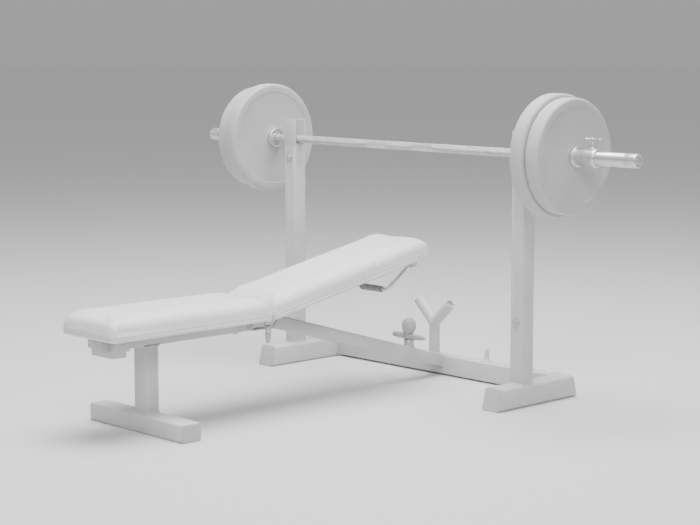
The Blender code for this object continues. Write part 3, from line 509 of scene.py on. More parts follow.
def ringedRubber(name, look):
    # moulded rubber with the mould's turned rings about the bar's axis, and a dusty bloom
    material, tree, shader = startMaterial(name)
    shader.inputs["Specular IOR Level"].default_value = 0.35

    place = tree.nodes.new("ShaderNodeTexCoord")
    place.label = "position on the rubber"
    centre = tree.nodes.new("ShaderNodeMapping")
    centre.label = "bar's axis at zero"
    centre.inputs["Location"].default_value = (0, -look["axis"][0], -look["axis"][1])
    flatten = tree.nodes.new("ShaderNodeVectorMath")
    flatten.label = "drop the distance along the bar"
    flatten.operation = "MULTIPLY"
    flatten.inputs[1].default_value = (0, 1, 1)
    radius = tree.nodes.new("ShaderNodeVectorMath")
    radius.label = "distance from the axis"
    radius.operation = "LENGTH"
    spread = tree.nodes.new("ShaderNodeMath")
    spread.label = "ring spacing"
    spread.operation = "MULTIPLY"
    spread.inputs[1].default_value = look["ringScale"]
    rings = tree.nodes.new("ShaderNodeTexNoise")
    rings.label = "turned rings of the mould"
    rings.noise_dimensions = "1D"
    rings.inputs["Scale"].default_value = 1
    rings.inputs["Detail"].default_value = 3
    ringBump = tree.nodes.new("ShaderNodeBump")
    ringBump.label = "depth of the rings"
    ringBump.inputs["Strength"].default_value = look["ringDepth"]
    ringBump.inputs["Distance"].default_value = 0.0006
    grit = tree.nodes.new("ShaderNodeTexNoise")
    grit.label = "gritty skin"
    grit.inputs["Scale"].default_value = 1300
    grit.inputs["Detail"].default_value = 3
    gritBump = tree.nodes.new("ShaderNodeBump")
    gritBump.label = "height of the grit"
    gritBump.inputs["Strength"].default_value = 0.35
    gritBump.inputs["Distance"].default_value = 0.0002
    tree.links.new(place.outputs["Object"], centre.inputs["Vector"])
    tree.links.new(centre.outputs["Vector"], flatten.inputs[0])
    tree.links.new(flatten.outputs["Vector"], radius.inputs[0])
    tree.links.new(radius.outputs["Value"], spread.inputs[0])
    tree.links.new(spread.outputs["Value"], rings.inputs["W"])
    tree.links.new(rings.outputs["Fac"], ringBump.inputs["Height"])
    tree.links.new(place.outputs["Object"], grit.inputs["Vector"])
    tree.links.new(grit.outputs["Fac"], gritBump.inputs["Height"])
    tree.links.new(ringBump.outputs["Normal"], gritBump.inputs["Normal"])
    tree.links.new(gritBump.outputs["Normal"], shader.inputs["Normal"])

    bloom = tree.nodes.new("ShaderNodeTexNoise")
    bloom.label = "dusty bloom"
    bloom.inputs["Scale"].default_value = 11
    bloom.inputs["Detail"].default_value = 8
    bloom.inputs["Roughness"].default_value = 0.65
    tones = tree.nodes.new("ShaderNodeValToRGB")
    tones.label = "rubber shades"
    tones.color_ramp.elements[0].position = 0.32
    tones.color_ramp.elements[0].color = (*[c * 0.93 for c in look["colour"]], 1)
    tones.color_ramp.elements[1].position = 0.68
    tones.color_ramp.elements[1].color = (*[min(c * 1.04, 1) for c in look["colour"]], 1)
    dull = tree.nodes.new("ShaderNodeMapRange")
    dull.label = "roughness of the bloom"
    dull.inputs["To Min"].default_value = look["roughness"] - 0.1
    dull.inputs["To Max"].default_value = look["roughness"] + 0.1
    tree.links.new(place.outputs["Object"], bloom.inputs["Vector"])
    tree.links.new(bloom.outputs["Fac"], tones.inputs["Fac"])
    tree.links.new(tones.outputs["Color"], shader.inputs["Base Color"])
    tree.links.new(bloom.outputs["Fac"], dull.inputs["Value"])
    tree.links.new(dull.outputs["Result"], shader.inputs["Roughness"])

    layOut(material, {
        "Rings": [place, centre, flatten, radius, spread, rings, ringBump],
        "Skin": [grit, gritBump],
        "Colour and shine": [bloom, tones, dull],
    })
    return material


def mouldedSkin(name, look):
    # plastic, foam, cloth or thread: one fine texture, one slow change of shade
    material, tree, shader = startMaterial(name)
    shader.inputs["Specular IOR Level"].default_value = look["specular"]

    place = tree.nodes.new("ShaderNodeTexCoord")
    place.label = "position on the piece"
    stretch = tree.nodes.new("ShaderNodeMapping")
    stretch.label = "direction of the texture"
    stretch.inputs["Scale"].default_value = look["stretch"]
    fine = tree.nodes.new("ShaderNodeTexNoise")
    fine.label = "moulded texture"
    fine.inputs["Scale"].default_value = look["textureScale"]
    fine.inputs["Detail"].default_value = 4
    fineBump = tree.nodes.new("ShaderNodeBump")
    fineBump.label = "height of the texture"
    fineBump.inputs["Strength"].default_value = look["textureDepth"]
    fineBump.inputs["Distance"].default_value = 0.0003
    slow = tree.nodes.new("ShaderNodeTexNoise")
    slow.label = "slow change of shade"
    slow.inputs["Scale"].default_value = 16
    slow.inputs["Detail"].default_value = 5
    blend = tree.nodes.new("ShaderNodeMath")
    blend.label = "texture shows in the shade too"
    blend.operation = "MULTIPLY_ADD"
    blend.inputs[1].default_value = 0.5
    tones = tree.nodes.new("ShaderNodeValToRGB")
    tones.label = "shades"
    tones.color_ramp.elements[0].position = 0.5
    tones.color_ramp.elements[0].color = (*[c * look["darker"] for c in look["colour"]], 1)
    tones.color_ramp.elements[1].position = 1.0
    tones.color_ramp.elements[1].color = (*look["colour"], 1)
    dull = tree.nodes.new("ShaderNodeMapRange")
    dull.label = "uneven shine"
    dull.inputs["To Min"].default_value = look["roughness"] - 0.06
    dull.inputs["To Max"].default_value = look["roughness"] + 0.06
    tree.links.new(place.outputs["Object"], stretch.inputs["Vector"])
    tree.links.new(stretch.outputs["Vector"], fine.inputs["Vector"])
    tree.links.new(fine.outputs["Fac"], fineBump.inputs["Height"])
    tree.links.new(fineBump.outputs["Normal"], shader.inputs["Normal"])
    tree.links.new(place.outputs["Object"], slow.inputs["Vector"])
    tree.links.new(slow.outputs["Fac"], blend.inputs[0])
    tree.links.new(fine.outputs["Fac"], blend.inputs[2])
    tree.links.new(blend.outputs["Value"], tones.inputs["Fac"])
    tree.links.new(tones.outputs["Color"], shader.inputs["Base Color"])
    tree.links.new(slow.outputs["Fac"], dull.inputs["Value"])
    tree.links.new(dull.outputs["Result"], shader.inputs["Roughness"])

    layOut(material, {
        "Texture": [place, stretch, fine, fineBump],
        "Shade and shine": [slow, blend, tones, dull],
    })
    return material


barAxis = (0.5841, 0.892)
coatLook = {"colour": (0.55, 0.55, 0.56), "roughness": 0.44, "peelScale": 420, "peelDepth": 0.6, "mottle": 0.06}
steelLook = {"colour": (0.72, 0.72, 0.73), "metallic": 0.85, "roughness": 0.34, "markDepth": 0.12}
knurlLook = {"colour": (0.68, 0.68, 0.69), "metallic": 0.7, "roughness": 0.36, "axis": barAxis, "radius": 0.015,
             "cuts": 56, "middleBand": 0.06, "gripStart": 0.17, "ring": 0.405, "gripEnd": 0.655}
vinylLook = {"colour": (0.77, 0.77, 0.765), "roughness": 0.47, "grainScale": 430, "grainDepth": 0.6,
             "wrinkleDepth": 0.22}
rubberLook = {"colour": (0.46, 0.46, 0.47), "roughness": 0.52, "axis": barAxis, "ringScale": 420,
              "ringDepth": 0.8}
plasticLook = {"colour": (0.46, 0.46, 0.47), "roughness": 0.5, "specular": 0.4, "stretch": (1, 1, 1),
               "textureScale": 900, "textureDepth": 0.3, "darker": 0.9}
gripLook = {"colour": (0.34, 0.34, 0.35), "roughness": 0.8, "specular": 0.25, "stretch": (1, 1, 1),
            "textureScale": 1100, "textureDepth": 0.9, "darker": 0.72}
clothLook = {"colour": (0.30, 0.30, 0.31), "roughness": 0.9, "specular": 0.15, "stretch": (1, 1, 1),
             "textureScale": 700, "textureDepth": 0.8, "darker": 0.7}
threadLook = {"colour": (0.42, 0.42, 0.42), "roughness": 0.65, "specular": 0.25, "stretch": (1, 1, 1),
              "textureScale": 2600, "textureDepth": 0.7, "darker": 0.8}
plyLook = {"colour": (0.62, 0.50, 0.36), "roughness": 0.72, "specular": 0.2, "stretch": (1, 0.08, 7),
           "textureScale": 220, "textureDepth": 0.4, "darker": 0.6}

coat = powderCoat("powder coat", coatLook)
turnedX = workedSteel("steel turned along x", {**steelLook, "grain": (1500, 12, 12)})
turnedZ = workedSteel("steel turned along z", {**steelLook, "grain": (12, 12, 1500)})
zincLook = {**steelLook, "colour": (0.62, 0.63, 0.65), "roughness": 0.42, "grain": (420, 420, 420)}
zinc = workedSteel("zinc plate", zincLook)
bronze = workedSteel("bushing bronze", {**steelLook, "colour": (0.60, 0.42, 0.22), "grain": (1500, 12, 12)})
knurled = knurledSteel("knurled bar", knurlLook)
vinyl = grainedVinyl("pad vinyl", vinylLook)
rubber = ringedRubber("plate rubber", rubberLook)
plastic = mouldedSkin("moulded plastic", plasticLook)
gripFoam = mouldedSkin("grip foam", gripLook)
backing = mouldedSkin("backing cloth", clothLook)
thread = mouldedSkin("stitching thread", threadLook)
ply = mouldedSkin("plywood", plyLook)
foamSkin = mouldedSkin("foam", {**gripLook, "colour": (0.80, 0.74, 0.52)})
print("finishes made")


# shared making steps

def addPiece(name, mesh, material, body, stands=()):
    mesh.materials.clear()
    mesh.materials.append(material)
    piece = bpy.data.objects.new(name, mesh)
    scene.collection.objects.link(piece)
    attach(piece, body)
    if stands:
        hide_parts(*stands)
    return piece


def bakeModifiers(work):
    # the evaluated shape as a plain mesh; the work object is dropped
    view = bpy.context.evaluated_depsgraph_get()
    mesh = bpy.data.meshes.new_from_object(work.evaluated_get(view))
    bpy.data.objects.remove(work, do_unlink=True)
    return mesh


def meshOf(bm):
    mesh = bpy.data.meshes.new("work")
    bm.to_mesh(mesh)
    bm.free()
    return mesh


def workObject(data):
    # a passing object that carries modifiers until they are baked
    work = bpy.data.objects.new("work", data)
    scene.collection.objects.link(work)
    return work


def roundOff(bm, width=0, limit=32):
    # a bevel on every sharp edge, then smooth faces between the edges that stay sharp
    work = workObject(meshOf(bm))
    if width:
        bevel = work.modifiers.new("Soft Edges", "BEVEL")
        bevel.width = width
        bevel.segments = 2
        bevel.limit_method = "ANGLE"
        bevel.angle_limit = math.radians(limit)
        bevel.miter_outer = "MITER_ARC"
    mesh = bakeModifiers(work)
    mesh.shade_smooth()
    mesh.set_sharp_from_angle(angle=math.radians(38))
    return mesh


def skin(bm, loops, ring=False):
    # outward faces through loops of points: a closed ring of loops, or a run with both ends filled
    rows = [[bm.verts.new(point) for point in loop] for loop in loops]
    pairs = list(zip(rows, rows[1:]))
    if ring:
        pairs.append((rows[-1], rows[0]))
    for low, high in pairs:
        for i in range(len(low)):
            j = (i + 1) % len(low)
            bm.faces.new((low[i], low[j], high[j], high[i]))
    if not ring:
        bm.faces.new(rows[0])
        bm.faces.new(rows[-1])
    bmesh.ops.recalc_face_normals(bm, faces=bm.faces)
    return bm


def circle(middle, first, second, radius, sides):
    turns = [2 * math.pi * i / sides for i in range(sides)]
    return [middle + first * radius * math.cos(t) + second * radius * math.sin(t) for t in turns]


def lathe(bm, profile, centre, axis, sides=96, ring=False):
    # (distance along the axis, radius) points turned about a line through the centre
    first = axis.orthogonal().normalized()
    second = axis.cross(first)
    loops = [circle(Vector(centre) + axis * along, first, second, radius, sides) for along, radius in profile]
    return skin(bm, loops, ring)


def roundedOutline(width, height, radius, steps=6):
    points = []
    for corner, (side, level) in enumerate(((1, 1), (-1, 1), (-1, -1), (1, -1))):
        for step in range(steps + 1):
            angle = math.radians(90 * (corner + step / steps))
            points.append((side * (width / 2 - radius) + radius * math.cos(angle),
                           level * (height / 2 - radius) + radius * math.sin(angle)))
    return points


# metalwork: soft edges on every carried-over part

edgeWidth = {"tube": 0.0009, "plate": 0.0008, "small": 0.0005, "cap": 0.0008}
metalwork = {
    "frame": {
        "tube": ["skid_left", "skid_right", "crossbeam", "upright_left", "upright_right", "front_leg",
                 "front_foot", "seat_rail", "spine"],
        "plate": ["cradle_left", "cradle_right", "front_bracket", "fork_post"],
        "small": ["hinge_leaf", "pin_barrel", "upright_bolt_left", "upright_bolt_right", "cradle_bolt_left",
                  "cradle_bolt_right", "seat_bolt"],
        "cap": ["skid_cap_front_left", "skid_cap_front_right", "skid_cap_rear_left", "skid_cap_rear_right",
                "foot_cap_left", "foot_cap_right", "cradle_liner_left", "cradle_liner_right"],
    },
    "backrest": {
        "tube": ["back_rail_left", "back_rail_right"],
        "plate": ["bail_bracket"],
        "small": ["back_leaf"],
    },
}
finishOfSlot = {"frame_coat": coat, "zinc": zinc, "plastic": plastic, "bright_steel": turnedX,
                "bronze": bronze, "plywood": ply, "foam": foamSkin, "vinyl": vinyl,
                "plate_rubber": rubber, "grip_rubber": gripFoam}
slotOfNode = {entry["node"]: entry["material_slot"] for entry in frame["record"]["subparts"]}


def camelCase(node):
    words = node.split("_")
    return words[0] + "".join(word.title() for word in words[1:])


def softenNode(node, body, width):
    bm = bmesh.new()
    bm.from_mesh(nodes[node].data)
    bmesh.ops.remove_doubles(bm, verts=bm.verts, dist=2e-5)
    bmesh.ops.dissolve_limit(bm, angle_limit=math.radians(0.6), verts=bm.verts, edges=bm.edges)
    mesh = roundOff(bm, width)
    addPiece(camelCase(node), mesh, finishOfSlot[slotOfNode[node]], body, [node])


def makeMetalwork():
    for body, kinds in metalwork.items():
        for kind, members in kinds.items():
            for node in members:
                softenNode(node, body, edgeWidth[kind])
    for node, cad in nodes.items():
        cad.data.materials.clear()
        cad.data.materials.append(finishOfSlot[slotOfNode[node]])


makeMetalwork()
print("metalwork softened")


# pads

incline = math.radians(11.5)
hingePlace = Vector((0, -0.1665, 0.338))
padForm = {"halfWidth": 0.1445, "softer": 0.7, "thickness": 0.0765, "topRound": 0.036, "crown": 0.004,
           "voxel": 0.0065, "pressure": 4.0, "lastFrame": 20, "tuckedBelow": 0.012, "swellCap": 0.005,
           "lowest": 0.0008, "topRoom": 0.0035, "sideLimit": 0.1475, "reachRun": 0.08,
           "leafSide": (0.106, 0.124), "leafTop": (0.019, 0.030), "crush": 0.0105}
seamForm = {"height": 0.016, "grooveDepth": 0.0024, "grooveWidth": 0.0022, "pleatDepth": 0.0007, "pleats": 34,
            "pathStep": 0.012, "rowOffset": 0.0042, "stitchLift": 0.0002}
backingForm = {"inset": 0.022, "levels": (0.0001, 0.0009), "stapleInset": 0.030, "stapleLevel": 0.0003}
seatPad = {"name": "seatPad", "body": "frame", "length": 0.672, "corners": (0.022, 0.014),
           "hingeEnd": "high", "ends": (0.0015, 0.0002), "reach": 0.0078, "lean": 0.0,
           "stands": ["seat_cover", "seat_foam", "seat_board"]}
backPad = {"name": "backPad", "body": "backrest", "length": 0.776, "corners": (0.014, 0.024),
           "hingeEnd": "low", "ends": (-0.0002, 0.002), "reach": 0.0165, "lean": math.tan(incline),
           "stands": ["back_cover", "back_foam", "back_board"]}
seatPad["place"] = Matrix.Translation((0, -0.8515, 0.3301))
backPad["place"] = (Matrix.Translation(hingePlace) @ Matrix.Rotation(incline, 4, "X")
                    @ Matrix.Translation((0, 0.013, -0.0076)))


def padOutline(pad, inset, steps=8):
    # plan of the pad, anticlockwise, with its own corner radius at each end
    half, low, high = padForm["halfWidth"] - inset, inset, pad["length"] - inset
    lowRound, highRound = (radius + inset * padForm["softer"] for radius in pad["corners"])
    points = []
    corners = [(half, high, highRound, 0), (-half, high, highRound, 90), (-half, low, lowRound, 180),
               (half, low, lowRound, 270)]
    for x, y, radius, start in corners:
        middleX = x - math.copysign(radius, x)
        middleY = y - radius if start < 180 else y + radius
        for step in range(steps + 1):
            angle = math.radians(start + 90 * step / steps)
            points.append((middleX + radius * math.cos(angle), middleY + radius * math.sin(angle)))
    return points


def smoothStep(low, high, value):
    share = np.clip((value - low) / (high - low), 0, 1)
    return share * share * (3 - 2 * share)


def reachToHinge(pad, points):
    # foam that overhangs the hinge, so that the two pads meet in a crease
    x, y, z = points[:, 0], points[:, 1], points[:, 2]
    run = padForm["reachRun"]
    room = np.maximum(smoothStep(*padForm["leafSide"], np.abs(x)), smoothStep(*padForm["leafTop"], z))
    if pad["hingeEnd"] == "high":
        near = np.clip((y - (pad["length"] - run)) / run, 0, 1)
        points[:, 1] += pad["reach"] * near * room
    else:
        near = np.clip((run - y) / run, 0, 1)
        points[:, 1] -= (pad["reach"] - pad["lean"] * z) * near * room
    return points


def readPoints(mesh):
    points = np.empty(len(mesh.vertices) * 3)
    mesh.vertices.foreach_get("co", points)
    return points.reshape(-1, 3)


def writePoints(mesh, points):
    mesh.vertices.foreach_set("co", points.astype(np.float32).ravel())
    mesh.update()


def roughPad(pad):
    top, arc, crown = padForm["thickness"], padForm["topRound"], padForm["crown"]
    layers = [(0.035, 0.0012), (0.006, 0.0012), (0.0016, 0.0030), (0.0002, 0.0080), (0, 0.020), (0, 0.034)]
    for step in range(1, 9):
        angle = math.radians(90 * step / 8)
        layers.append((arc * (1 - math.cos(angle)), top - arc + arc * math.sin(angle)))
    layers += [(0.052, top + crown * 0.55), (0.085, top + crown * 0.9), (0.120, top + crown)]
    loops = [[(x, y, height) for x, y in padOutline(pad, inset)] for inset, height in layers]
    work = workObject(meshOf(skin(bmesh.new(), loops)))
    even = work.modifiers.new("Even Faces", "REMESH")
    even.mode = "VOXEL"
    even.voxel_size = padForm["voxel"]
    relax = work.modifiers.new("Relax", "SMOOTH")
    relax.factor = 0.5
    relax.iterations = 4
    return bakeModifiers(work)


def swell(pad, mesh):
    # foam pressing out against its stretched cover
    start = readPoints(mesh)
    work = workObject(mesh)
    held = work.vertex_groups.new(name="tucked under")
    held.add([int(i) for i in np.nonzero(start[:, 2] < padForm["tuckedBelow"])[0]], 1.0, "REPLACE")
    cloth = work.modifiers.new("Stretched Vinyl", "CLOTH")
    cloth.settings.quality = 6
    cloth.settings.use_pressure = True
    cloth.settings.uniform_pressure_force = padForm["pressure"]
    cloth.settings.effector_weights.gravity = 0
    cloth.settings.vertex_group_mass = held.name
    cloth.settings.tension_stiffness = 30
    cloth.settings.compression_stiffness = 30
    cloth.settings.bending_stiffness = 2
    cloth.point_cache.frame_start = 1
    cloth.point_cache.frame_end = padForm["lastFrame"]
    for number in range(1, padForm["lastFrame"] + 1):
        scene.frame_set(number)
    moved = readPoints(bakeModifiers(work)) - start
    far = np.linalg.norm(moved, axis=1, keepdims=True)
    moved *= np.minimum(1, padForm["swellCap"] / np.maximum(far, 1e-9))
    print(pad["name"], "swelled by up to", round(float(far.max()) * 1000, 1), "mm before the cap")
    scene.frame_set(1)
    writePoints(mesh, start + moved)
    return mesh


def squareUp(pad, points):
    # the hinge end is pressed flat against the other pad, the underside against its board
    highest = padForm["thickness"] + padForm["crown"] + padForm["topRoom"]
    lowEnd, beyond = pad["ends"]
    points[:, 0] = np.clip(points[:, 0], -padForm["sideLimit"], padForm["sideLimit"])
    points[:, 1] = np.clip(points[:, 1], lowEnd, pad["length"] + beyond)
    points[:, 2] = np.clip(points[:, 2], padForm["lowest"], highest)
    return points


def creaseAndPleat(mesh):
    # the sewn line sinks in all round, and the cover is gathered below it at the corners
    points = readPoints(mesh)
    normals = np.empty(len(mesh.vertices) * 3)
    mesh.vertices.foreach_get("normal", normals)
    normals = normals.reshape(-1, 3)
    seam = seamForm["height"]
    depth = seamForm["grooveDepth"] * np.exp(-(((points[:, 2] - seam) / seamForm["grooveWidth"]) ** 2))
    turn = np.arctan2(normals[:, 1], normals[:, 0])
    corner = np.abs(np.sin(2 * turn)) ** 2
    below = smoothStep(seam - 0.001, seam - 0.008, points[:, 2]) * (points[:, 2] > 0.002)
    gather = seamForm["pleatDepth"] * np.sin(turn * seamForm["pleats"]) * corner * below
    side = np.linalg.norm(normals[:, :2], axis=1)
    points += normals * ((gather - depth) * (side > 0.5))[:, None]
    writePoints(mesh, points)


def seamPath(pad, mesh, height):
    # points on the finished side of the pad at one height, in the pad's own frame
    tree = BVHTree.FromPolygons([v.co for v in mesh.vertices], [p.vertices for p in mesh.polygons])
    path = []
    outline = padOutline(pad, 0.0, 10)
    spread = []
    for (x0, y0), (x1, y1) in zip(outline, outline[1:] + outline[:1]):
        pieces = max(1, round(math.hypot(x1 - x0, y1 - y0) / seamForm["pathStep"]))
        spread += [(x0 + (x1 - x0) * i / pieces, y0 + (y1 - y0) * i / pieces) for i in range(pieces)]
    spread = reachToHinge(pad, np.array([(x, y, height) for x, y in spread]))
    for x, y, z in spread:
        hit, normal, _, _ = tree.find_nearest(Vector((x, y, z)))
        path.append(Vector((hit.x, hit.y, height)) + Vector((normal.x, normal.y, 0)) * seamForm["stitchLift"])
    return path


# trees for what repeats

def repeatTree(name, kind, material):
    # one small item on every step of a path: stitches, weld ripples or staples
    tree = bpy.data.node_groups.new(name, "GeometryNodeTree")
    tree.interface.new_socket("Geometry", in_out="INPUT", socket_type="NodeSocketGeometry")
    sizes = {"Step": 0.006, "Length": 0.004, "Thickness": 0.001, "Height": 0.001, "Unevenness": 0.1}
    for label, value in sizes.items():
        socket = tree.interface.new_socket(label, in_out="INPUT", socket_type="NodeSocketFloat")
        socket.default_value = value
    tree.interface.new_socket("Geometry", in_out="OUTPUT", socket_type="NodeSocketGeometry")

    start = tree.nodes.new("NodeGroupInput")
    start.label = "path and sizes"
    points = tree.nodes.new("GeometryNodeCurveToPoints")
    points.label = "one place for each item"
    points.mode = "LENGTH"
    tree.links.new(start.outputs["Geometry"], points.inputs["Curve"])
    tree.links.new(start.outputs["Step"], points.inputs["Length"])

    if kind == "bar":
        item = tree.nodes.new("GeometryNodeMeshCube")
        item.label = "flat bar"
    else:
        item = tree.nodes.new("GeometryNodeMeshUVSphere")
        item.label = "rounded item"
        item.inputs["Segments"].default_value = 10
        item.inputs["Rings"].default_value = 7
        item.inputs["Radius"].default_value = 0.5
    size = tree.nodes.new("ShaderNodeCombineXYZ")
    size.label = "thickness, height, length"
    sized = tree.nodes.new("GeometryNodeTransform")
    sized.label = "item to size"
    tree.links.new(start.outputs["Thickness"], size.inputs["X"])
    tree.links.new(start.outputs["Height"], size.inputs["Y"])
    tree.links.new(start.outputs["Length"], size.inputs["Z"])
    tree.links.new(item.outputs["Mesh"], sized.inputs["Geometry"])
    tree.links.new(size.outputs["Vector"], sized.inputs["Scale"])

    smallest = tree.nodes.new("ShaderNodeMath")
    smallest.label = "smallest item"
    smallest.operation = "SUBTRACT"
    smallest.inputs[0].default_value = 1
    largest = tree.nodes.new("ShaderNodeMath")
    largest.label = "largest item"
    largest.operation = "ADD"
    largest.inputs[0].default_value = 1
    uneven = tree.nodes.new("FunctionNodeRandomValue")
    uneven.label = "uneven sizes"
    uneven.inputs["Seed"].default_value = 7
    tree.links.new(start.outputs["Unevenness"], smallest.inputs[1])
    tree.links.new(start.outputs["Unevenness"], largest.inputs[1])
    tree.links.new(smallest.outputs["Value"], uneven.inputs[2])
    tree.links.new(largest.outputs["Value"], uneven.inputs[3])

    placed = tree.nodes.new("GeometryNodeInstanceOnPoints")
    placed.label = "items along the path"
    real = tree.nodes.new("GeometryNodeRealizeInstances")
    real.label = "plain mesh"
    smooth = tree.nodes.new("GeometryNodeSetShadeSmooth")
    smooth.label = "smooth faces"
    painted = tree.nodes.new("GeometryNodeSetMaterial")
    painted.label = "finish"
    painted.inputs["Material"].default_value = material
    smooth.inputs["Shade Smooth"].default_value = kind != "bar"
    end = tree.nodes.new("NodeGroupOutput")
    end.label = "finished row"
    tree.links.new(points.outputs["Points"], placed.inputs["Points"])
    tree.links.new(points.outputs["Rotation"], placed.inputs["Rotation"])
    tree.links.new(sized.outputs["Geometry"], placed.inputs["Instance"])
    tree.links.new(uneven.outputs[1], placed.inputs["Scale"])
    tree.links.new(placed.outputs["Instances"], real.inputs["Geometry"])
    tree.links.new(real.outputs["Geometry"], smooth.inputs["Geometry"])
    tree.links.new(smooth.outputs["Geometry"], painted.inputs["Geometry"])
    tree.links.new(painted.outputs["Geometry"], end.inputs["Geometry"])
    row = [start, points, item, size, sized, smallest, largest, uneven, placed, real, smooth, painted, end]
    for column, node in enumerate(row):
        node.location = (column * 190, 0 if column % 2 else -160)
    return tree


def repeatAlong(paths, tree, sizes, closed=True):
    # runs a repeat tree over closed or open paths and gives back a plain mesh
    curve = bpy.data.curves.new("paths", "CURVE")
    curve.dimensions = "3D"
    curve.twist_mode = "Z_UP"
    for path in paths:
        spline = curve.splines.new("POLY")
        spline.points.add(len(path) - 1)
        for point, place in zip(spline.points, path):
            point.co = (*place, 1)
        spline.use_cyclic_u = closed
    work = workObject(curve)
    modifier = work.modifiers.new("Repeat", "NODES")
    modifier.node_group = tree
    sockets = {item.name: item.identifier for item in tree.interface.items_tree if item.in_out == "INPUT"}
    for label, value in sizes.items():
        modifier[sockets[label]] = float(value)
    return bakeModifiers(work)


stitchTree = repeatTree("Stitches", "ball", thread)
rippleTree = repeatTree("Weld ripples", "ball", coat)
stapleTree = repeatTree("Staples", "bar", zinc)
stitchSize = {"Step": 0.0066, "Length": 0.0052, "Thickness": 0.0013, "Height": 0.0013, "Unevenness": 0.05}
stapleSize = {"Step": 0.028, "Length": 0.0100, "Thickness": 0.0010, "Height": 0.0006, "Unevenness": 0.02}


def squashed(piece):
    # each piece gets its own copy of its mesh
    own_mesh(piece)


def makePad(pad):
    mesh = roughPad(pad)
    mesh = swell(pad, mesh)
    writePoints(mesh, reachToHinge(pad, squareUp(pad, readPoints(mesh))))
    work = workObject(mesh)
    fine = work.modifiers.new("Fine Faces", "SUBSURF")
    fine.levels = 1
    fine.render_levels = 1
    mesh = bakeModifiers(work)
    creaseAndPleat(mesh)
    mesh.shade_smooth()

    stitches = []
    for side in (-1, 1):
        path = seamPath(pad, mesh, seamForm["height"] + side * seamForm["rowOffset"])
        stitches.append([pad["place"] @ point for point in path])
    stitchMesh = repeatAlong(stitches, stitchTree, stitchSize)

    outline = padOutline(pad, backingForm["inset"])
    faces = [[pad["place"] @ Vector((x, y, level)) for x, y in outline] for level in backingForm["levels"]]
    sheetMesh = roundOff(skin(bmesh.new(), faces))
    level = backingForm["stapleLevel"]
    staplePath = [pad["place"] @ Vector((x, y, level)) for x, y in padOutline(pad, backingForm["stapleInset"])]
    stapleMesh = repeatAlong([staplePath], stapleTree, stapleSize)

    mesh.transform(pad["place"])
    cushion = addPiece(pad["name"], mesh, vinyl, pad["body"], pad["stands"])
    sewn = addPiece(pad["name"] + "Stitches", stitchMesh, thread, pad["body"])
    under = addPiece(pad["name"] + "Backing", sheetMesh, backing, pad["body"])
    tacks = addPiece(pad["name"] + "Staples", stapleMesh, zinc, pad["body"])
    for piece in (cushion, sewn, under, tacks):
        squashed(piece)


makePad(seatPad)
makePad(backPad)
print("pads upholstered")


# welds

rippleSize = {"Step": 0.0021, "Length": 0.0040, "Thickness": 0.0085, "Height": 0.0085, "Unevenness": 0.07}
weldForm = {"tube": 0.060, "legY": -0.6115, "uprightX": 0.598, "uprightY": 0.5885, "skidX": 0.5588,
            "forkY": 0.7685, "knobY": 0.6285, "slope": 16.22, "topY": -0.0475, "topZ": 0.3255}
pegPlace = (0.225, 0.8185, 0.0783)


def boxPath(centre, across, up, width, height, radius=0.006):
    outline = roundedOutline(width, height, radius, 4)
    return [Vector(centre) + across * u + up * v for u, v in outline]


def ringPath(centre, radius, slope=0):
    # a level ring, or one that lies on a leaning tube
    path = circle(Vector(centre), alongX, alongY, radius, 40)
    for point in path:
        point.z += slope * (point.y - centre[1])
    return path


def makeWelds():
    slope = -math.tan(math.radians(weldForm["slope"]))
    full = weldForm["tube"] + 0.001
    legY, side, depth = weldForm["legY"], weldForm["uprightX"], weldForm["uprightY"]
    mitreUp = Vector((0, 0.032, 0.040)).normalized()
    paths = [
        boxPath((0, legY, 0.0603), alongX, alongY, full, full),
        boxPath((0, legY, 0.2852), alongX, alongY, full, full),
        boxPath((0, -0.0635, 0.3055), alongX, mitreUp, full, 0.0515, 0.005),
        boxPath((0, 0.7890, 0.0555), alongX, alongZ, full, 0.0440, 0.005),
    ]
    for y, radius in ((weldForm["forkY"], 0.0212), (weldForm["knobY"], 0.0190)):
        spineTop = weldForm["topZ"] + slope * (y - weldForm["topY"])
        paths.append(ringPath((0, y, spineTop + 0.0003), radius, slope))
    paths.append(ringPath(pegPlace, 0.0145))
    for turn in (-1, 1):
        paths.append(boxPath((turn * weldForm["skidX"], 0.8135, 0.0415), alongY, alongZ, 0.049, 0.0735))
        paths.append(boxPath((turn * side, depth, 0.0803), alongX, alongY, full, full))
    addPiece("weldBeads", repeatAlong(paths, rippleTree, rippleSize), coat, "frame")


makeWelds()
print("welds laid")


# barbell

barbell = {"centre": Vector((0, *barAxis)), "shaft": 0.015, "spindle": 0.0125, "sleeve": 0.024,
           "flange": 0.0375, "flangeStart": 0.700, "flangeFace": 0.7167, "end": 1.100, "sides": 96}
plates = {"inner": {"start": 0.7170, "radius": 0.2136}, "outer": {"start": 0.7745, "radius": 0.2005}}
plateForm = {"thick": 0.0572, "rim": 0.0105, "bore": 0.0252, "hub": 0.040, "dish": 0.0022, "lipWidth": 0.020}
collarForm = {"start": 0.8320, "bore": 0.0246, "screwAt": 0.9055, "handleUp": 0.062, "handleHalf": 0.0355}


def plateProfile(start, radius):
    # a rounded rim, a raised lip inside it, a shallow dished face and a flush hub
    thick, rim, dish = plateForm["thick"], plateForm["rim"], plateForm["dish"]
    lip = radius - rim - plateForm["lipWidth"]
    face = [(0, plateForm["bore"]), (0, plateForm["hub"]), (dish, plateForm["hub"] + 0.003),
            (dish, lip - 0.003), (0, lip), (0, radius - rim)]
    for step in range(1, 7):
        angle = math.radians(90 * step / 6)
        face.append((rim - rim * math.cos(angle), radius - rim + rim * math.sin(angle)))
    far = [(thick - along, distance) for along, distance in reversed(face)]
    return [(start + along, distance) for along, distance in face + far]


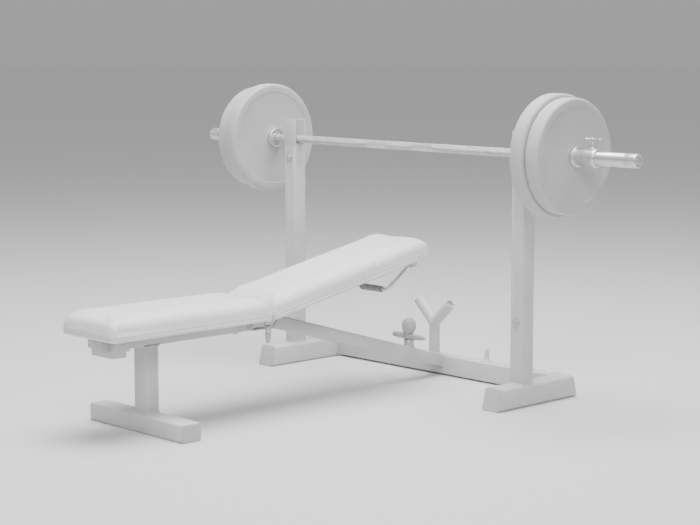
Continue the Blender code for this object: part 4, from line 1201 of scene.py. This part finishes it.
def makePlates(side, label):
    outward = alongX * side
    for kind, plate in plates.items():
        profile = plateProfile(plate["start"], plate["radius"])
        bm = lathe(bmesh.new(), profile, barbell["centre"], outward, 160, True)
        name = f"plate_{kind}_{label}"
        addPiece(camelCase(name), roundOff(bm, 0.0005, 20), rubber, name, [name])


def makeSleeve(side, label):
    outward, centre = alongX * side, barbell["centre"]
    start, face, radius, flange = (barbell[k] for k in ("flangeStart", "flangeFace", "sleeve", "flange"))
    end = barbell["end"]
    profile = [
        (1.080, 0.0135), (0.7423, 0.0135), (0.7423, 0.0163), (start, 0.0163), (start, flange - 0.002),
        (start + 0.002, flange), (face - 0.002, flange), (face, flange - 0.002), (face, radius),
        (end - 0.052, radius), (end - 0.0515, radius - 0.0006), (end - 0.0485, radius - 0.0006),
        (end - 0.048, radius), (end - 0.003, radius), (end, radius - 0.003), (end, 0.0180),
        (end - 0.0012, 0.0172), (end - 0.0012, 0.0120), (end, 0.0112), (end, 0.0010),
    ]
    bm = lathe(bmesh.new(), profile, centre, outward, barbell["sides"])
    addPiece(f"sleeve{label.title()}", roundOff(bm, 0.0003, 30), turnedX, f"sleeve_{label}",
             [f"sleeve_{label}"])


def makeCollar(side, label):
    outward, centre, start = alongX * side, barbell["centre"], collarForm["start"]
    bore = collarForm["bore"]
    profile = [(0, bore), (0, 0.0345), (0.0015, 0.0360), (0.010, 0.0360), (0.0125, 0.0345), (0.0140, 0.0290),
               (0.0165, 0.0285), (0.042, 0.0285), (0.046, 0.0300), (0.0485, 0.0318), (0.0505, 0.0320),
               (0.088, 0.0320), (0.0885, 0.0314), (0.0895, 0.0314), (0.090, 0.0320), (0.094, 0.0320),
               (0.098, 0.0290), (0.098, bore)]
    bm = lathe(bmesh.new(), [(start + along, radius) for along, radius in profile], centre, outward, 96, True)
    middle = centre + outward * collarForm["screwAt"]
    boss = [(0.0310, 0.0056), (0.0310, 0.0150), (0.0335, 0.0135), (0.0360, 0.0122), (0.0405, 0.0118),
            (0.0410, 0.0110), (0.0410, 0.0056)]
    lathe(bm, boss, middle, alongZ, 48, True)
    addPiece(f"collar{label.title()}", roundOff(bm), turnedX, f"collar_{label}",
             [f"collar_{label}"])

    top, half = collarForm["handleUp"], collarForm["handleHalf"]
    bm = bmesh.new()
    stem = [(0.0244, 0.0030), (0.0262, 0.0050)]
    for turn in range(9):
        low = 0.0275 + turn * 0.0030
        stem += [(low, 0.0050), (low + 0.0012, 0.0045), (low + 0.0018, 0.0045)]
    stem += [(0.0548, 0.0050), (0.0552, 0.0058), (0.0575, 0.0062), (0.0665, 0.0062), (0.0680, 0.0048)]
    lathe(bm, stem, middle, alongZ, 40)
    handle = [(-half, 0.0025), (-half + 0.0012, 0.0048), (-half + 0.003, 0.0056), (-half + 0.007, 0.0056),
              (-half + 0.009, 0.0047), (half - 0.009, 0.0047), (half - 0.007, 0.0056), (half - 0.003, 0.0056),
              (half - 0.0012, 0.0048), (half, 0.0025)]
    lathe(bm, handle, middle + alongZ * top, alongX, 40)
    addPiece(f"collarScrew{label.title()}", roundOff(bm), turnedZ, f"collar_screw_{label}",
             [f"collar_screw_{label}"])


def makeBarbell():
    spindle, shaft = barbell["spindle"], barbell["shaft"]
    half = [(-1.070, spindle - 0.001), (-1.069, spindle), (-0.7015, spindle), (-0.7015, shaft - 0.0005),
            (-0.7010, shaft), (-0.408, shaft), (-0.4075, shaft - 0.0005), (-0.4045, shaft - 0.0005),
            (-0.404, shaft)]
    profile = half + [(-along, radius) for along, radius in reversed(half)]
    bm = lathe(bmesh.new(), profile, barbell["centre"], alongX, 64)
    addPiece("barShaft", roundOff(bm), knurled, "bar", ["bar_shaft"])
    for side, label in ((-1, "left"), (1, "right")):
        makeSleeve(side, label)
        makePlates(side, label)
        makeCollar(side, label)


makeBarbell()
print("barbell made")


# lock knob, pull pin, peg and bail

knobForm = {"place": Vector((0, 0.6285, 0.1288)), "barUp": 0.0405}
pinForm = {"place": Vector((0.103, -0.1665, 0))}
springForm = {"low": 0.2906, "high": 0.3012, "wire": 0.0005, "radius": 0.0058, "turns": 4, "steps": 28,
              "pull": 0.0055}
bailForm = {"pivot": (0.7337, -0.022), "grip": (0.5932, -0.084), "half": 0.080, "rod": 0.0062, "bend": 0.024,
            "gripRadius": 0.0120, "gripHalf": 0.054, "ribs": 11}


def makeKnob():
    place = knobForm["place"]
    bm = bmesh.new()
    screw = [(0.0040, 0.0060), (0.0050, 0.0075), (0.0163, 0.0075), (0.0163, 0.0190), (0.0173, 0.0200),
             (0.0265, 0.0205), (0.0280, 0.0195), (0.0280, 0.0070), (0.0615, 0.0070), (0.0620, 0.0060)]
    lathe(bm, screw, place, alongZ, 64)
    addPiece("knobScrew", roundOff(bm), turnedZ, "knob", ["knob_screw"])

    bm = bmesh.new()
    ball = [(0.0290, 0.0073), (0.0290, 0.0112), (0.0300, 0.0120), (0.0500, 0.0112), (0.0525, 0.0125),
            (0.0540, 0.0160)]
    for step in range(14):
        angle = math.radians(-62 + step * 10)
        ball.append((0.0795 + 0.0320 * math.sin(angle), 0.0275 * math.cos(angle) ** 0.9))
    ball += [(0.1112, 0.0050), (0.1115, 0.0004)]
    hollow = [(0.0623, 0.0004), (0.0623, 0.0073)]
    lathe(bm, hollow + ball, place, alongZ, 72)
    bar = [(-0.0845, 0.0030), (-0.0835, 0.0062), (-0.0780, 0.0100), (-0.0600, 0.0110), (-0.0300, 0.0118),
           (0.0000, 0.0119), (0.0300, 0.0118), (0.0600, 0.0095), (0.0780, 0.0062), (0.0838, 0.0040),
           (0.0845, 0.0015)]
    lathe(bm, bar, place + alongZ * knobForm["barUp"], alongX, 48)
    addPiece("knobGrip", roundOff(bm), plastic, "knob", ["knob_grip"])


def makePullPin():
    place = pinForm["place"]
    tip = 0.3132
    bm = bmesh.new()
    pin = [(tip, 0.0010), (tip - 0.0008, 0.0020), (tip - 0.002, 0.0028), (0.3045, 0.0028), (0.3045, 0.0072),
           (0.3015, 0.0072), (0.3015, 0.0030), (0.2720, 0.0030)]
    lathe(bm, pin, place, alongZ, 40)
    addPiece("lockPin", roundOff(bm, 0.0002), turnedZ, "lock_pin", ["lock_pin"])
    bm = bmesh.new()
    knob = [(0.2715, 0.0004), (0.2715, 0.0034), (0.2860, 0.0034), (0.2860, 0.0094), (0.2850, 0.0106),
            (0.2815, 0.0109), (0.2800, 0.0105), (0.2785, 0.0103), (0.2700, 0.0094), (0.2600, 0.0080),
            (0.2545, 0.0072), (0.2520, 0.0060), (0.2505, 0.0040), (0.2500, 0.0006)]
    lathe(bm, knob, place, alongZ, 64)
    addPiece("pinKnob", roundOff(bm), plastic, "lock_pin", ["pin_knob"])


def makeSpring():
    # a fine return spring round the pin
    low, high, wire = springForm["low"], springForm["high"], springForm["wire"]
    place, radius, steps = pinForm["place"], springForm["radius"], springForm["steps"]
    turns = [2 * math.pi * i / steps for i in range(springForm["turns"] * steps + 1)]
    rise = (high - low - 2 * wire) / turns[-1]
    loops = []
    for turn in turns:
        outward = Vector((math.cos(turn), math.sin(turn), 0))
        middle = place + outward * radius + alongZ * (low + wire + rise * turn)
        loops.append(circle(middle, outward, alongZ, wire, 10))
    mesh = roundOff(skin(bmesh.new(), loops))
    spring = addPiece("pinSpring", mesh, turnedZ, "frame", ["pin_spring"])
    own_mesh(spring)


def makePeg():
    bm = bmesh.new()
    peg = [(0, 0.0150), (0.0025, 0.0150), (0.0045, 0.0138), (0.0070, 0.0118), (0.0100, 0.0105),
           (0.0200, 0.0096), (0.0400, 0.0078), (0.0455, 0.0066), (0.0480, 0.0050), (0.0490, 0.0020)]
    lathe(bm, peg, pegPlace, alongZ, 48)
    addPiece("bandPeg", roundOff(bm), coat, "frame", ["band_peg"])


def makeBail():
    place = Matrix.Translation(hingePlace) @ Matrix.Rotation(incline, 4, "X")
    hub, reach = (Vector((0, *bailForm[key])) for key in ("pivot", "grip"))
    out = (reach - hub).normalized()
    length, half, bend = (reach - hub).length, bailForm["half"], bailForm["bend"]
    corners = [Vector((half + 0.018, 0, 0)), Vector((half, 0, 0)), Vector((half, length, 0)),
               Vector((-half, length, 0)), Vector((-half, 0, 0)), Vector((-half - 0.018, 0, 0))]
    bends = [0, 0.008, bend, bend, 0.008, 0]
    path = []
    for i, (here, radius) in enumerate(zip(corners, bends)):
        if not radius:
            path.append(here)
            continue
        before, after = (corners[i - 1] - here).normalized(), (corners[i + 1] - here).normalized()
        for step in range(9):
            share = step / 8
            path.append(here + before * radius * (1 - share) ** 2 + after * radius * share**2)
    path = [place @ (hub + alongX * p.x + out * p.y) for p in path]
    flat = (place.to_3x3() @ alongX.cross(out)).normalized()
    loops = []
    for i, point in enumerate(path):
        ahead = (path[min(i + 1, len(path) - 1)] - path[max(i - 1, 0)]).normalized()
        loops.append(circle(point, ahead.cross(flat), flat, bailForm["rod"], 28))
    bm = skin(bmesh.new(), loops)
    addPiece("bailRod", roundOff(bm, 0.0006, 50), turnedX, "bail", ["bail"])

    radius, gripHalf, ribs = bailForm["gripRadius"], bailForm["gripHalf"], bailForm["ribs"]
    profile = [(-gripHalf, 0.0066), (-gripHalf, radius - 0.0018), (-gripHalf + 0.0015, radius - 0.0004)]
    pitch = 2 * (gripHalf - 0.005) / ribs
    for rib in range(ribs):
        low = -gripHalf + 0.005 + rib * pitch
        profile += [(low, radius - 0.0002), (low + pitch * 0.38, radius), (low + pitch * 0.62, radius),
                    (low + pitch * 0.74, radius - 0.0010), (low + pitch * 0.90, radius - 0.0010)]
    profile += [(gripHalf - 0.0015, radius - 0.0004), (gripHalf, radius - 0.0018), (gripHalf, 0.0066)]
    bm = lathe(bmesh.new(), profile, place @ reach, alongX, 48, True)
    addPiece("bailGrip", roundOff(bm), gripFoam, "bail", ["bail_grip"])


makeKnob()
makePullPin()
makeSpring()
makePeg()
makeBail()
print("small parts made")
